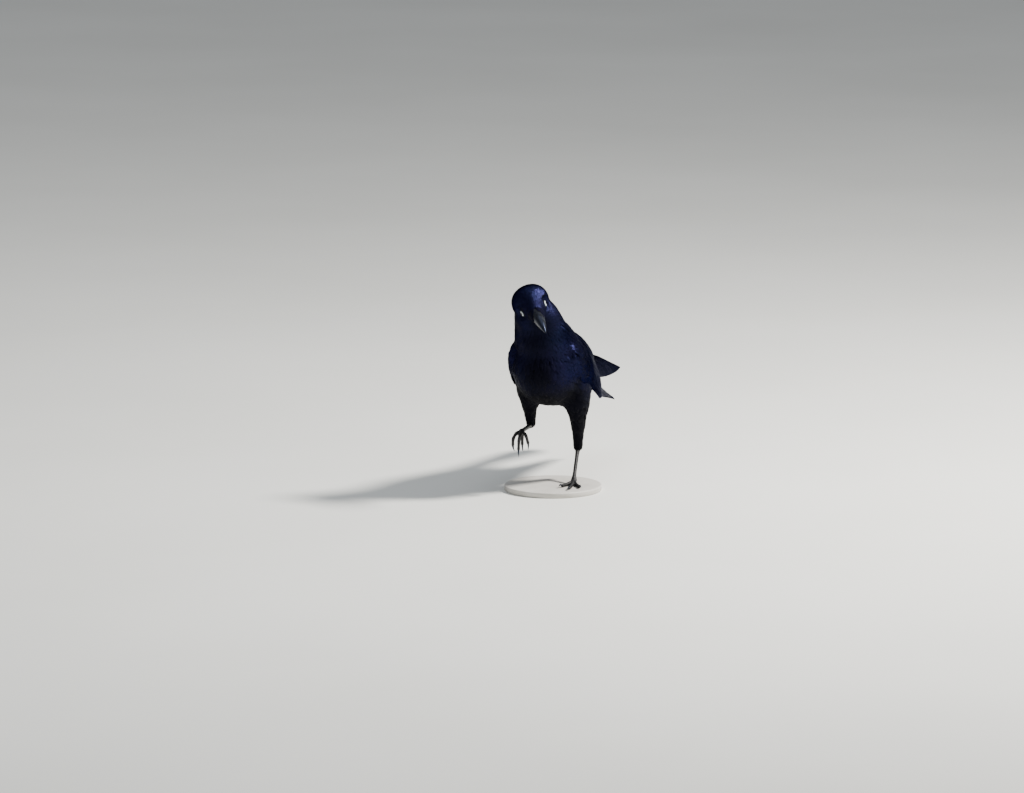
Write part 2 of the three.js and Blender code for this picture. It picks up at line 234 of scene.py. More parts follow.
# A math node on two numbers or sockets, and its result.
def maths(tree, operation, a, b=0.0, clamp=False):
    node = addNode(tree, "ShaderNodeMath", operation=operation, use_clamp=clamp)
    for socket, value in zip(node.inputs, (a, b)):
        if hasattr(value, "links"):
            link(tree, value, socket)
        else:
            socket.default_value = value
    return node.outputs[0]


def mixColours(tree, factor, a, b):
    node = addNode(tree, "ShaderNodeMix", data_type="RGBA")
    for socket, value in zip((node.inputs[0], node.inputs[6], node.inputs[7]), (factor, a, b)):
        if hasattr(value, "links"):
            link(tree, value, socket)
        else:
            socket.default_value = value
    return node.outputs[2]


def noise(tree, vector, scale, detail=2.0, roughness=0.5):
    node = addNode(tree, "ShaderNodeTexNoise")
    node.inputs["Scale"].default_value = scale
    node.inputs["Detail"].default_value = detail
    node.inputs["Roughness"].default_value = roughness
    link(tree, vector, node.inputs["Vector"])
    return node.outputs["Fac"]


def ramp(tree, value, low, high, bottom=0.0, top=1.0):
    node = addNode(tree, "ShaderNodeMapRange")
    for socket, number in zip(list(node.inputs)[1:5], (low, high, bottom, top)):
        socket.default_value = number
    link(tree, value, node.inputs["Value"])
    return node.outputs["Result"]


# A shader node group; inputs and outputs are lists of (name, socket type, starting value).
def newGroup(name, inputs, outputs):
    tree = bpy.data.node_groups.new(name, "ShaderNodeTree")
    for label, kind, start in inputs:
        socket = tree.interface.new_socket(name=label, in_out="INPUT", socket_type="NodeSocket" + kind)
        if start is not None:
            socket.default_value = start
    for label, kind in outputs:
        tree.interface.new_socket(name=label, in_out="OUTPUT", socket_type="NodeSocket" + kind)
    return tree, addNode(tree, "NodeGroupInput"), addNode(tree, "NodeGroupOutput")


def useGroup(tree, group, **values):
    node = addNode(tree, "ShaderNodeGroup", node_tree=group)
    for label, value in values.items():
        socket = node.inputs[label]
        if hasattr(value, "links"):
            link(tree, value, socket)
        else:
            socket.default_value = value
    return node


# A material with its Principled shader; settings are the shader's own uniform values.
def newMaterial(name, **settings):
    material = bpy.data.materials.new(name)
    material.use_nodes = True
    shader = material.node_tree.nodes["Principled BSDF"]
    for label, value in settings.items():
        shader.inputs[label.replace("_", " ")].default_value = value
    return material, material.node_tree, shader


def addBump(tree, shader, height, strength, distance):
    bump = addNode(tree, "ShaderNodeBump")
    bump.inputs["Strength"].default_value = strength
    bump.inputs["Distance"].default_value = distance
    link(tree, height, bump.inputs["Height"])
    link(tree, bump.outputs["Normal"], shader.inputs["Normal"])


def objectPlace(tree):
    return addNode(tree, "ShaderNodeTexCoord").outputs["Object"]


# ---- effects shared by materials ----

# Gloss of black feathers: a slow noise drifts between two sheen colours, and a feather's own tone shifts them.
# Where the gloss is low, colour and shine fall to the near-black down: on the throat, breast, belly and thighs
# that is partly their duller plumage and partly painted shade, kept black as in shadow.
def plumageSheenGroup():
    tree, given, out = newGroup("plumageSheen", [
        ("Place", "Vector", None), ("Tone", "Float", 0.5), ("Gloss", "Float", 1.0), ("Down", "Color", (0, 0, 0, 1)),
        ("Violet", "Color", (0, 0, 0, 1)), ("Steel", "Color", (0, 0, 0, 1)),
    ], [("Colour", "Color"), ("Shine", "Float"), ("Roughness", "Float")])
    drift = ramp(tree, noise(tree, given.outputs["Place"], 14, 3), 0.35, 0.65)
    blend = maths(tree, "ADD", maths(tree, "MULTIPLY", drift, 0.6),
                  maths(tree, "MULTIPLY", given.outputs["Tone"], 0.4), clamp=True)
    sheen = mixColours(tree, blend, given.outputs["Violet"], given.outputs["Steel"])
    mottle = ramp(tree, noise(tree, given.outputs["Place"], 260, 3), 0.3, 0.7, 0.93, 1.0)
    shine = maths(tree, "MULTIPLY", given.outputs["Gloss"], mottle, clamp=True)
    link(tree, mixColours(tree, shine, given.outputs["Down"], sheen), out.inputs["Colour"])
    link(tree, shine, out.inputs["Shine"])
    dull = maths(tree, "SUBTRACT", 0.74, maths(tree, "MULTIPLY", shine, 0.43))
    worn = maths(tree, "MULTIPLY", maths(tree, "SUBTRACT", given.outputs["Tone"], 0.5), 0.1)
    link(tree, maths(tree, "ADD", dull, worn, clamp=True), out.inputs["Roughness"])
    return tree


# Barbs of a vane: lines that slant away from the shaft, sin(count * (along - slant * |across|)), and a ridge
# where the shaft runs.
def barbLinesGroup():
    tree, given, out = newGroup("barbLines", [
        ("Vane", "Vector", None), ("Count", "Float", 400.0), ("Slant", "Float", 0.8), ("Shaft", "Float", 0.08),
    ], [("Height", "Float"), ("ShaftMask", "Float")])
    split = addNode(tree, "ShaderNodeSeparateXYZ")
    link(tree, given.outputs["Vane"], split.inputs[0])
    across = maths(tree, "ABSOLUTE", split.outputs["X"])
    slanted = maths(tree, "SUBTRACT", split.outputs["Y"], maths(tree, "MULTIPLY", across, given.outputs["Slant"]))
    wobble = maths(tree, "MULTIPLY", noise(tree, given.outputs["Vane"], 3, 2), 0.03)
    wave = maths(tree, "SINE", maths(tree, "MULTIPLY", maths(tree, "ADD", slanted, wobble), given.outputs["Count"]))
    shaft = maths(tree, "SUBTRACT", 1.0, maths(tree, "DIVIDE", across, given.outputs["Shaft"]), clamp=True)
    link(tree, maths(tree, "ADD", maths(tree, "MULTIPLY", wave, 0.25), shaft), out.inputs["Height"])
    link(tree, shaft, out.inputs["ShaftMask"])
    return tree


# Fine grain of horn, scale and lacquer: two noises, one stretched, give a tint mask and a height.
def surfaceGrainGroup():
    tree, given, out = newGroup("surfaceGrain", [
        ("Place", "Vector", None), ("Fine", "Float", 900.0), ("Broad", "Float", 60.0),
    ], [("Mask", "Float"), ("Height", "Float")])
    fine = addNode(tree, "ShaderNodeTexNoise")
    broad = addNode(tree, "ShaderNodeTexNoise")
    for node, label in ((fine, "Fine"), (broad, "Broad")):
        link(tree, given.outputs["Place"], node.inputs["Vector"])
        link(tree, given.outputs[label], node.inputs["Scale"])
        node.inputs["Detail"].default_value = 4
    link(tree, ramp(tree, broad.outputs["Fac"], 0.3, 0.7), out.inputs["Mask"])
    link(tree, fine.outputs["Fac"], out.inputs["Height"])
    return tree


plumageSheen = plumageSheenGroup()
barbLines = barbLinesGroup()
surfaceGrain = surfaceGrainGroup()


# ---- materials ----

plumageLook = {
    "down": (0.0028, 0.0028, 0.0030, 1),
    "violet": (0.0118, 0.0104, 0.037, 1),
    "steel": (0.0072, 0.0096, 0.0285, 1),
    "glance": (0.09, 0.10, 0.21, 1),  # reflection at grazing angles
    "bodyBarbs": 90,
    "flightBarbs": 140,
}


# Vaned feathers: sheen by region and tone, barb lines as bump; the low gloss of the underside is painted shade as
# well as duller plumage. barbs is their number in radians along a feather.
def featherMaterial(name, barbs, shaft, strength):
    material, tree, shader = newMaterial(name, Specular_IOR_Level=0.05, Specular_Tint=plumageLook["glance"])
    tone = addNode(tree, "ShaderNodeAttribute", attribute_name="tone").outputs["Fac"]
    # gloss per feather from the coat: its sheen, and on the underside painted shade as well
    gloss = addNode(tree, "ShaderNodeAttribute", attribute_name="gloss").outputs["Fac"]
    vane = addNode(tree, "ShaderNodeUVMap", uv_map="Vane").outputs["UV"]
    sheen = useGroup(tree, plumageSheen, Place=objectPlace(tree), Tone=tone, Gloss=gloss,
                     Down=plumageLook["down"], Violet=plumageLook["violet"], Steel=plumageLook["steel"])
    lines = useGroup(tree, barbLines, Vane=vane, Count=barbs, Slant=0.55, Shaft=shaft)
    dark = maths(tree, "MULTIPLY", lines.outputs["ShaftMask"], 0.5)
    link(tree, mixColours(tree, dark, sheen.outputs["Colour"], plumageLook["down"]), shader.inputs["Base Color"])
    link(tree, sheen.outputs["Shine"], shader.inputs["Metallic"])
    link(tree, sheen.outputs["Roughness"], shader.inputs["Roughness"])
    addBump(tree, shader, lines.outputs["Height"], strength, 0.0001)
    return material


# The down under the feathers: the same black and sheen, matt, with a tufted bump.
def downMaterial():
    material, tree, shader = newMaterial("downyBlack", Specular_IOR_Level=0.03)
    place = objectPlace(tree)
    sheen = useGroup(tree, plumageSheen, Place=place, Tone=0.5, Gloss=0.1,
                     Down=plumageLook["down"], Violet=plumageLook["violet"], Steel=plumageLook["steel"])
    link(tree, sheen.outputs["Colour"], shader.inputs["Base Color"])
    link(tree, sheen.outputs["Roughness"], shader.inputs["Roughness"])
    grain = useGroup(tree, surfaceGrain, Place=place, Fine=700, Broad=120)
    addBump(tree, shader, grain.outputs["Height"], 0.5, 0.0006)
    return material


hornLook = {"black": (0.0055, 0.0056, 0.0062, 1), "grey": (0.012, 0.013, 0.016, 1), "roughness": (0.22, 0.36),
            "glance": (0.36, 0.50, 1.0, 1)}


# Polished black horn, paler and duller where it is worn.
def hornMaterial():
    material, tree, shader = newMaterial("blackHorn", Specular_IOR_Level=0.24, Specular_Tint=hornLook["glance"])
    place = objectPlace(tree)
    grain = useGroup(tree, surfaceGrain, Place=place, Fine=1500, Broad=170)
    worn = ramp(tree, grain.outputs["Mask"], 0.35, 1.0)
    link(tree, mixColours(tree, worn, hornLook["black"], hornLook["grey"]), shader.inputs["Base Color"])
    low, high = hornLook["roughness"]
    link(tree, ramp(tree, grain.outputs["Mask"], 0, 1, low, high), shader.inputs["Roughness"])
    addBump(tree, shader, grain.outputs["Height"], 0.25, 0.0001)
    return material


scaleLook = {"black": (0.006, 0.006, 0.007, 1), "dust": (0.024, 0.023, 0.022, 1)}


# Satin black scaled skin: greyer in patches and in the seams of the plates.
def scaleMaterial(name, fine, specular):
    material, tree, shader = newMaterial(name, Specular_IOR_Level=specular)
    place = objectPlace(tree)
    grain = useGroup(tree, surfaceGrain, Place=place, Fine=fine, Broad=220)
    seam = addNode(tree, "ShaderNodeAttribute", attribute_name="seam").outputs["Fac"]
    dusty = maths(tree, "ADD", maths(tree, "MULTIPLY", grain.outputs["Mask"], 0.35), seam, clamp=True)
    link(tree, mixColours(tree, dusty, scaleLook["black"], scaleLook["dust"]), shader.inputs["Base Color"])
    link(tree, ramp(tree, dusty, 0, 1, 0.44, 0.66), shader.inputs["Roughness"])
    addBump(tree, shader, grain.outputs["Height"], 0.35, 0.00015)
    return material


eyeLook = {
    "white": (0.55, 0.58, 0.59, 1), "rim": (0.11, 0.15, 0.19, 1), "pupil": (0.002, 0.002, 0.003, 1),
    "pupilEdge": 0.53, "irisEdge": 0.93,
}


# The eye, by distance from its axis on the piece's own map: pupil, white iris with fine rays, grey outer rim.
def eyeMaterial():
    material, tree, shader = newMaterial("whiteEye", Roughness=0.12, Coat_Roughness=0.02, IOR=1.38, Specular_IOR_Level=0.08)
    split = addNode(tree, "ShaderNodeSeparateXYZ")
    link(tree, addNode(tree, "ShaderNodeUVMap", uv_map="Iris").outputs["UV"], split.inputs[0])
    out = split.outputs["X"]
    rays = addNode(tree, "ShaderNodeTexNoise")
    rays.inputs["Scale"].default_value = 1
    stretch = addNode(tree, "ShaderNodeCombineXYZ")
    link(tree, maths(tree, "MULTIPLY", out, 4.0), stretch.inputs[0])
    link(tree, maths(tree, "MULTIPLY", split.outputs["Y"], 60.0), stretch.inputs[1])
    link(tree, stretch.outputs[0], rays.inputs["Vector"])
    tint = maths(tree, "MULTIPLY", ramp(tree, rays.outputs["Fac"], 0.35, 0.7), 0.3)
    edge = ramp(tree, out, 0.72, eyeLook["irisEdge"])
    iris = mixColours(tree, maths(tree, "ADD", tint, edge, clamp=True), eyeLook["white"], eyeLook["rim"])
    ring = maths(tree, "MULTIPLY", ramp(tree, out, eyeLook["pupilEdge"] - 0.02, eyeLook["pupilEdge"] + 0.02),
                 ramp(tree, out, 0.94, 0.98, 1.0, 0.0))
    link(tree, mixColours(tree, ring, eyeLook["pupil"], iris), shader.inputs["Base Color"])
    link(tree, ramp(tree, out, 0.0, 1.0, 0.16, 0.13), shader.inputs["Coat Weight"])
    return material


standLook = {"pale": (0.56, 0.54, 0.50, 1), "shade": (0.47, 0.45, 0.41, 1)}


def standMaterial():
    material, tree, shader = newMaterial("standLacquer", Specular_IOR_Level=0.45)
    grain = useGroup(tree, surfaceGrain, Place=objectPlace(tree), Fine=1400, Broad=35)
    link(tree, mixColours(tree, grain.outputs["Mask"], standLook["pale"], standLook["shade"]),
         shader.inputs["Base Color"])
    link(tree, ramp(tree, grain.outputs["Mask"], 0, 1, 0.48, 0.6), shader.inputs["Roughness"])
    addBump(tree, shader, grain.outputs["Height"], 0.12, 0.0001)
    return material


floorLook = {"pale": (0.74, 0.74, 0.70, 1), "shade": (0.69, 0.69, 0.65, 1)}


def floorMaterial():
    material, tree, shader = newMaterial("studioFloor", Roughness=0.85, Specular_IOR_Level=0.2)
    grain = useGroup(tree, surfaceGrain, Place=objectPlace(tree), Fine=60, Broad=1.5)
    link(tree, mixColours(tree, grain.outputs["Mask"], floorLook["pale"], floorLook["shade"]),
         shader.inputs["Base Color"])
    return material


downyBlack = downMaterial()
fineFeather = featherMaterial("fineFeather", plumageLook["bodyBarbs"], 0.16, 0.5)
bodyFeather = featherMaterial("bodyFeather", plumageLook["bodyBarbs"] * 1.6, 0.07, 0.5)
flightFeather = featherMaterial("flightFeather", plumageLook["flightBarbs"], 0.035, 0.9)
blackHorn = hornMaterial()
scaledSkin = scaleMaterial("scaledSkin", 1600, 0.25)
bareLid = scaleMaterial("bareLid", 2400, 0.05)
whiteEye = eyeMaterial()
standLacquer = standMaterial()
print("materials made")


# ---- head frame ----

head = {"eye": (-4, -92, 263.6), "yaw": 28.3, "pitch": 16.9, "roll": 24.4}


# Rows forward, left and up of the head: a turn about Z, then about X, then about Y the other way.
def headAxes():
    yaw, pitch, roll = (math.radians(head[key]) for key in ("yaw", "pitch", "roll"))
    aboutZ = np.array([[math.cos(yaw), -math.sin(yaw), 0], [math.sin(yaw), math.cos(yaw), 0], [0, 0, 1]])
    aboutX = np.array([[1, 0, 0], [0, math.cos(pitch), -math.sin(pitch)], [0, math.sin(pitch), math.cos(pitch)]])
    aboutY = np.array([[math.cos(roll), 0, -math.sin(roll)], [0, 1, 0], [math.sin(roll), 0, math.cos(roll)]])
    turn = aboutZ @ aboutX @ aboutY
    return np.array([turn @ [0, -1, 0], turn @ [1, 0, 0], turn @ [0, 0, 1]])


axes = headAxes()
headOrigin = np.array(head["eye"], float)


# Points given as forward, left, up of the midpoint between the eyes, in the bird's frame; and the way back.
def inHead(local):
    return headOrigin + np.asarray(local, float) @ axes


def toHead(points):
    return (points - headOrigin) @ axes.T


# ---- skin ----

body = {
    # y, top, underside, half-width
    "trunk": [
        [-86, 180, 168, 6], [-82, 194, 156, 20], [-72, 210, 142, 34], [-52, 222, 127, 45], [-26, 227, 116, 51],
        [4, 225, 111, 53], [34, 214, 113, 51], [64, 199, 119, 45], [94, 184, 128, 36], [122, 171, 137, 26],
        [148, 162, 141, 19], [168, 154, 138.5, 15], [182, 147, 136, 10],
    ],
    # x, y, z, half-width, half-depth
    "neck": [
        [0, -16, 180, 49, 42], [0, -34, 200, 46, 40], [-1, -53, 216.5, 40.5, 39], [-4, -63, 237, 35.5, 30.5],
        [-7, -72, 253, 31, 28.5], [-10, -78, 267, 24, 22],
    ],
    # ahead, half-width, top, underside, in the head's frame
    "skull": [
        [-39, 5, 6, -5], [-36, 14, 14, -12], [-28, 23, 23.7, -19], [-17, 26.8, 27.5, -23], [-7, 24, 26.2, -22.5],
        [1, 18.6, 21.8, -20.5], [8, 14.6, 16.6, -18], [14, 12, 12, -15.3], [20, 10.2, 9.2, -13],
    ],
    "thighs": {
        "left": [
            [33, -8, 150, 24, 30], [35, -2, 122, 19.5, 24], [34, 8, 98, 12.5, 15], [30, 24.4, 70, 8.2, 9],
            [26.6, 37.2, 47, 6.3, 6.7], [26.5, 37.5, 45.4, 5, 5.4],
        ],
        "right": [
            [-31, -14, 156, 20, 30], [-33, -6, 132, 16, 23], [-34.5, 3, 111, 11, 13], [-35.8, 11, 97, 8, 9],
            [-36.9, 19.4, 80.4, 6.4, 6.8], [-37, 19.9, 78.9, 5, 5.4],
        ],
    },
    "voxel": 1.5,
    "smoothing": 6,
    "closing": 4.5,
    "melting": 20,
}

wing = {
    # y, upper edge x and z, lower edge x and z, bulge, thickness
    "stations": [
        [-60, 44, 199, 45, 187, 1, 3], [-54, 42, 208, 46.5, 172, 4, 7], [-40, 40, 212, 47.5, 157, 6, 9],
        [-15, 37, 213, 51.5, 145, 9, 9], [20, 33, 206, 53, 126, 10, 8], [55, 27, 193, 52, 115, 11, 7],
        [85, 24, 177, 47, 109, 8, 6], [115, 22, 159, 41.5, 106, 4, 5], [145, 20, 139, 38, 100, 1.5, 4],
        [180, 20, 114, 35.3, 93, 0.6, 3], [215, 24, 95, 32, 85.5, 0.3, 2.2], [237, 29, 83.5, 30, 80.8, 0.1, 1.5],
    ],
    "skinEnd": 97,  # y where the wing's flesh ends and only flight feathers go on
    "shoulderLayer": 0.8,  # the flesh's outer face at the wrist, and under the ranks of feathers
    "bladeLayer": -0.1,
    "innerLayer": -0.9,
}
wingRows = splineRows(wing["stations"], 30)
sides = {"left": 1, "right": -1}


def wingColumn(y, column):
    return np.interp(y, wingRows[:, 0], wingRows[:, column])


# A point of the folded wing: t of the way from the upper to the lower edge, pushed outward by
# bulge * sin(pi t)^0.7, and by layer * half the thickness, less at the edges.
def wingPoint(side, y, t, layer):
    xu, zu, xl, zl, bulge, thick = (wingColumn(y, column) for column in range(1, 7))
    rounded = np.maximum(np.sin(np.pi * np.clip(t, 0, 1)), 0) ** 0.7
    push = bulge * rounded + layer * thick / 2 * (0.35 + 0.65 * rounded)
    edge = np.hypot(zu - zl, xu - xl)
    x = side * (lerp(xu, xl, t) + (zu - zl) / edge * push)
    return np.stack([x, y + 0 * t, lerp(zu, zl, t) + (xu - xl) / edge * push], -1)


# How far across the wing a point is (t) and how far outside its middle surface, in mm.
def wingPlace(points):
    x, y, z = np.abs(points[:, 0]), points[:, 1], points[:, 2]
    xu, zu, xl, zl, bulge = (wingColumn(y, column) for column in range(1, 6))
    edge = np.hypot(zu - zl, xu - xl)
    t = ((x - xu) * (xl - xu) + (z - zu) * (zl - zu)) / edge ** 2
    outward = ((x - xu) * (zu - zl) + (z - zu) * (xu - xl)) / edge
    return t, outward - bulge * np.maximum(np.sin(np.pi * np.clip(t, 0, 1)), 0) ** 0.7


# Layer of the flesh's outer face: high under the small feathers of the shoulder, low under the ranks.
def fleshLayer(y):
    return lerp(wing["shoulderLayer"], wing["bladeLayer"], smoothStep(4, 38, y))


# The wing's flesh: rings of the wing's outer and inner face, from the wrist to skinEnd.
def wingFlesh(side):
    rows = np.linspace(-59.5, wing["skinEnd"], 60)[:, None]
    t = np.linspace(0.03, 0.89, 22)[None, :]
    outer = wingPoint(side, rows + 0 * t, t + 0 * rows, fleshLayer(rows))
    inner = wingPoint(side, rows + 0 * t, t + 0 * rows, wing["innerLayer"])
    return np.concatenate([outer, inner[:, ::-1]], 1)


# Presses skin points under the ranks of the wing: none stays further out than the flesh's layer.
def sinkUnderBlade(points):
    t, outward = wingPlace(points)
    y = points[:, 1]
    xu, zu, xl, zl, _, thick = (wingColumn(y, column) for column in range(1, 7))
    rounded = np.maximum(np.sin(np.pi * np.clip(t, 0, 1)), 0) ** 0.7
    limit = fleshLayer(y) * thick / 2 * (0.35 + 0.65 * rounded) - lerp(0.6, 1.2, smoothStep(0.7, 0.95, t))
    under = smoothStep(16, 30, y) * smoothStep(0.06, 0.16, t) * (t < 1.1) * (outward < 12)
    press = np.maximum(outward - limit, 0) * under / np.hypot(zu - zl, xu - xl)
    across = np.sign(points[:, 0]) * (zu - zl)
    return points - press[:, None] * np.stack([across, 0 * y, xu - xl], -1)


tail = {
    "root": (0, 128, 161), "count": 12, "middle": 176, "outer": 154, "rootHalf": 11, "tipHalf": 15, "slope": 19,
    "fan": 5.5, "roll": 15, "rootThick": 7, "tipThick": 1.4, "half": 10.2, "spread": 0.76, "droop": 0.8,
    # distance from the root, half-width and half-thickness of the flesh that the tail coverts lie on
    "flesh": [[10, 11, 8], [28, 12, 7.2], [44, 12.5, 5.6], [56, 12.5, 4.6]],
}


# The tail's own axes: back along it, left across it, tilted by roll, and up out of it.
def tailAxes():
    slope, roll = math.radians(tail["slope"]), math.radians(tail["roll"])
    back = np.array([0, math.cos(slope), -math.sin(slope)])
    flat = np.array([1.0, 0, 0])
    left = flat * math.cos(roll) - np.cross(back, flat) * math.sin(roll)
    return back, left, -np.cross(left, back)


# A slab of oval rings along the tail's middle line.
def tailSlab(stations):
    back, left, rise = tailAxes()
    rows = splineRows(stations, 6)
    centres = np.array(tail["root"]) + rows[:, :1] * back
    side, up = (np.broadcast_to(axis, (len(rows), 3)) for axis in (left, rise))
    return tubeOf(ringsAt(centres, side, up, rows[:, 1], rows[:, 2], 40, 0.8))


def straightRings(stations, place, axesOfRing, steps, count, fullness):
    rows = splineRows(stations, steps)
    ahead, wide, top, under = rows.T
    side, up = (np.broadcast_to(axis, (len(rows), 3)) for axis in axesOfRing)
    return ringsAt(place(ahead, (top + under) / 2), side, up, wide, (top - under) / 2, count, fullness)


def trunkRings():
    rows = [[y, wide, top, under] for y, top, under, wide in body["trunk"]]
    place = lambda y, z: np.stack([0 * y, y, z], -1)
    return straightRings(rows, place, ([1.0, 0, 0], [0, 0, 1.0]), 5, 72, 0.94)


def skullRings():
    place = lambda ahead, rise: inHead(np.stack([ahead, 0 * ahead, rise], -1))
    return straightRings(body["skull"], place, (axes[1], axes[2]), 6, 72, 0.95)


# ---- the lie of the coat ----

# Places over the bird with the lie of the feathers there, the coat's depth over the skin, and the feathers' length,
# width, spacing and gloss. The gloss is high on the upper parts and low on the throat, breast, belly, under-tail
# and thighs: partly their duller plumage, partly painted shade that keeps the underside black as in shadow. Those
# marked head are in the head's frame. Between them everything blends.
coat = [
    dict(at=(15, 0, 11), lie=(-1, 0, 0.45), depth=0.7, length=4.8, width=1.15, spacing=1.05, gloss=0.95, head=1),
    dict(at=(4, 0, 20), lie=(-1, 0, 0.35), depth=0.9, length=6.5, width=1.5, spacing=1.2, gloss=1.0, head=1),
    dict(at=(-14, 0, 27.5), lie=(-1, 0, -0.1), depth=1.2, length=9, width=1.9, spacing=1.4, gloss=1.0, head=1),
    dict(at=(-33, 0, 16), lie=(-0.7, 0, -0.7), depth=1.7, length=12, width=2.5, spacing=1.8, gloss=1.0, head=1),
    dict(at=(-16, 25, 0), lie=(-1, 0.1, -0.35), depth=1.2, length=9, width=1.9, spacing=1.4, gloss=0.9, head=2),
    dict(at=(-9, 20, 12), lie=(-1, 0.1, -0.1), depth=1.1, length=8, width=1.8, spacing=1.35, gloss=1.0, head=2),
    dict(at=(12, 11, 1), lie=(-1, 0.45, 0.05), depth=0.6, length=4.5, width=1.0, spacing=1.0, gloss=0.7, head=2),
    dict(at=(3, 15, -14), lie=(-1, 0.2, -0.3), depth=0.9, length=7, width=1.5, spacing=1.2, gloss=0.8, head=2),
    # chin, throat, breast, belly and thighs: low gloss, partly duller plumage and partly painted shade
    dict(at=(15, 0, -14), lie=(-1, 0, -0.25), depth=0.8, length=7, width=1.2, spacing=1.15, gloss=0.3, head=1),
    dict(at=(-6, 0, -22), lie=(-1, 0, -0.5), depth=1.5, length=12, width=2.0, spacing=1.5, gloss=0.25, head=1),
    dict(at=(-4, -100, 225), lie=(0.05, 0.15, -1), depth=2.2, length=18, width=3.2, spacing=2.2, gloss=0.2),
    dict(at=(34, -72, 232), lie=(0.12, 0.5, -0.85), depth=2.2, length=16, width=3.4, spacing=2.2, gloss=0.95, pair=1),
    dict(at=(-4, -42, 246), lie=(0.05, 0.75, -0.6), depth=2.3, length=16, width=4.0, spacing=2.4, gloss=1.0),
    dict(at=(0, -88, 182), lie=(0, 0.3, -0.95), depth=3.2, length=22, width=6.0, spacing=3.3, gloss=0.13),
    dict(at=(40, -66, 190), lie=(0.05, 0.65, -0.76), depth=2.8, length=19, width=6.0, spacing=3.2, gloss=0.9, pair=1),
    dict(at=(0, -62, 134), lie=(0, 0.82, -0.57), depth=3.6, length=24, width=9, spacing=4.4, gloss=0.03),
    dict(at=(36, -45, 138), lie=(0, 0.85, -0.5), depth=3.4, length=22, width=8.5, spacing=4.2, gloss=0.08, pair=1),
    dict(at=(0, 0, 111), lie=(0, 1, 0), depth=4.0, length=26, width=9.5, spacing=4.8, gloss=0.02),
    dict(at=(0, 60, 118), lie=(0, 0.98, 0.18), depth=3.6, length=26, width=9.5, spacing=4.8, gloss=0.1),
    dict(at=(0, 110, 133), lie=(0, 0.97, 0.2), depth=2.8, length=27, width=9.5, spacing=4.6, gloss=0.5),
    dict(at=(0, 158, 140), lie=(0, 1, -0.12), depth=1.8, length=33, width=10, spacing=4.4, gloss=0.6),
    dict(at=(50, 25, 128), lie=(0, 0.94, -0.3), depth=3.2, length=24, width=9, spacing=4.4, gloss=0.18, pair=1),
    dict(at=(40, 80, 135), lie=(0, 0.98, -0.1), depth=2.6, length=25, width=9, spacing=4.4, gloss=0.35, pair=1),
    dict(at=(0, -40, 228), lie=(0, 0.97, -0.2), depth=2.6, length=18, width=8, spacing=3.6, gloss=1.0),
    dict(at=(0, 10, 226), lie=(0, 1, -0.12), depth=2.8, length=21, width=10.5, spacing=4.2, gloss=1.0),
    dict(at=(0, 70, 197), lie=(0, 0.92, -0.4), depth=2.6, length=22, width=10, spacing=4.4, gloss=0.9),
    dict(at=(0, 118, 174), lie=(0, 0.93, -0.36), depth=2.2, length=26, width=10.5, spacing=4.4, gloss=0.9),
    dict(at=(0, 160, 159), lie=(0, 0.94, -0.32), depth=1.6, length=34, width=12, spacing=4.4, gloss=0.95),
    dict(at=(34, -12, 216), lie=(0.2, 0.96, -0.25), depth=2.4, length=27, width=13, spacing=4.6, gloss=1.0, pair=1),
    dict(at=(29, 30, 208), lie=(0.22, 0.95, -0.32), depth=2.2, length=34, width=14, spacing=5.0, gloss=1.0, pair=1),
    dict(at=(45, -60, 190), lie=(0.05, 0.82, -0.55), depth=2.2, length=16, width=5.6, spacing=3.0, gloss=0.9, pair=1),
    dict(at=(57, -30, 178), lie=(0.02, 0.95, -0.3), depth=1.5, length=15, width=7.4, spacing=3.4, gloss=1.0, pair=1),
    dict(at=(60, 20, 165), lie=(0, 0.97, -0.3), depth=1.0, length=16, width=8, spacing=3.8, gloss=1.0, pair=1),
    dict(at=(50, 80, 140), lie=(0, 0.95, -0.3), depth=0.8, length=14, width=8, spacing=4.0, gloss=1.0, pair=1),
    dict(at=(27, 62, 193), lie=(0.16, 0.93, -0.36), depth=2.0, length=34, width=13, spacing=4.8, gloss=1.0, pair=1),
    dict(at=(24, 92, 179), lie=(0.10, 0.93, -0.36), depth=1.8, length=32, width=12, spacing=4.6, gloss=1.0, pair=1),
    # thighs: gloss 0.08, partly duller plumage and partly painted shade
    dict(at=(34, -4, 118), lie=(0, 0.3, -0.95), depth=3.0, length=17, width=6, spacing=3.6, gloss=0.08, pair=1),
    dict(at=(34, 8, 98), lie=(-0.05, 0.45, -0.89), depth=2.0, length=13, width=4.4, spacing=2.8, gloss=0.08),
    dict(at=(30, 22, 74), lie=(-0.13, 0.5, -0.86), depth=1.3, length=10, width=3.2, spacing=2.1, gloss=0.08),
    dict(at=(28, 31, 59), lie=(-0.12, 0.5, -0.86), depth=0.9, length=9, width=2.8, spacing=1.8, gloss=0.08),
    dict(at=(26.6, 37, 48), lie=(-0.02, 0.06, -1), depth=0.5, length=8, width=2.7, spacing=1.5, gloss=0.08),
    dict(at=(-35, 3, 110), lie=(-0.08, 0.45, -0.89), depth=1.8, length=12, width=4.2, spacing=2.7, gloss=0.08),
    dict(at=(-36.5, 16, 89), lie=(-0.08, 0.5, -0.86), depth=0.9, length=9, width=2.8, spacing=1.8, gloss=0.08),
    dict(at=(-37, 19.5, 81), lie=(-0.02, 0.12, -0.99), depth=0.5, length=7.5, width=2.7, spacing=1.5, gloss=0.08),
]
coatKeys = ("depth", "length", "width", "spacing", "gloss")


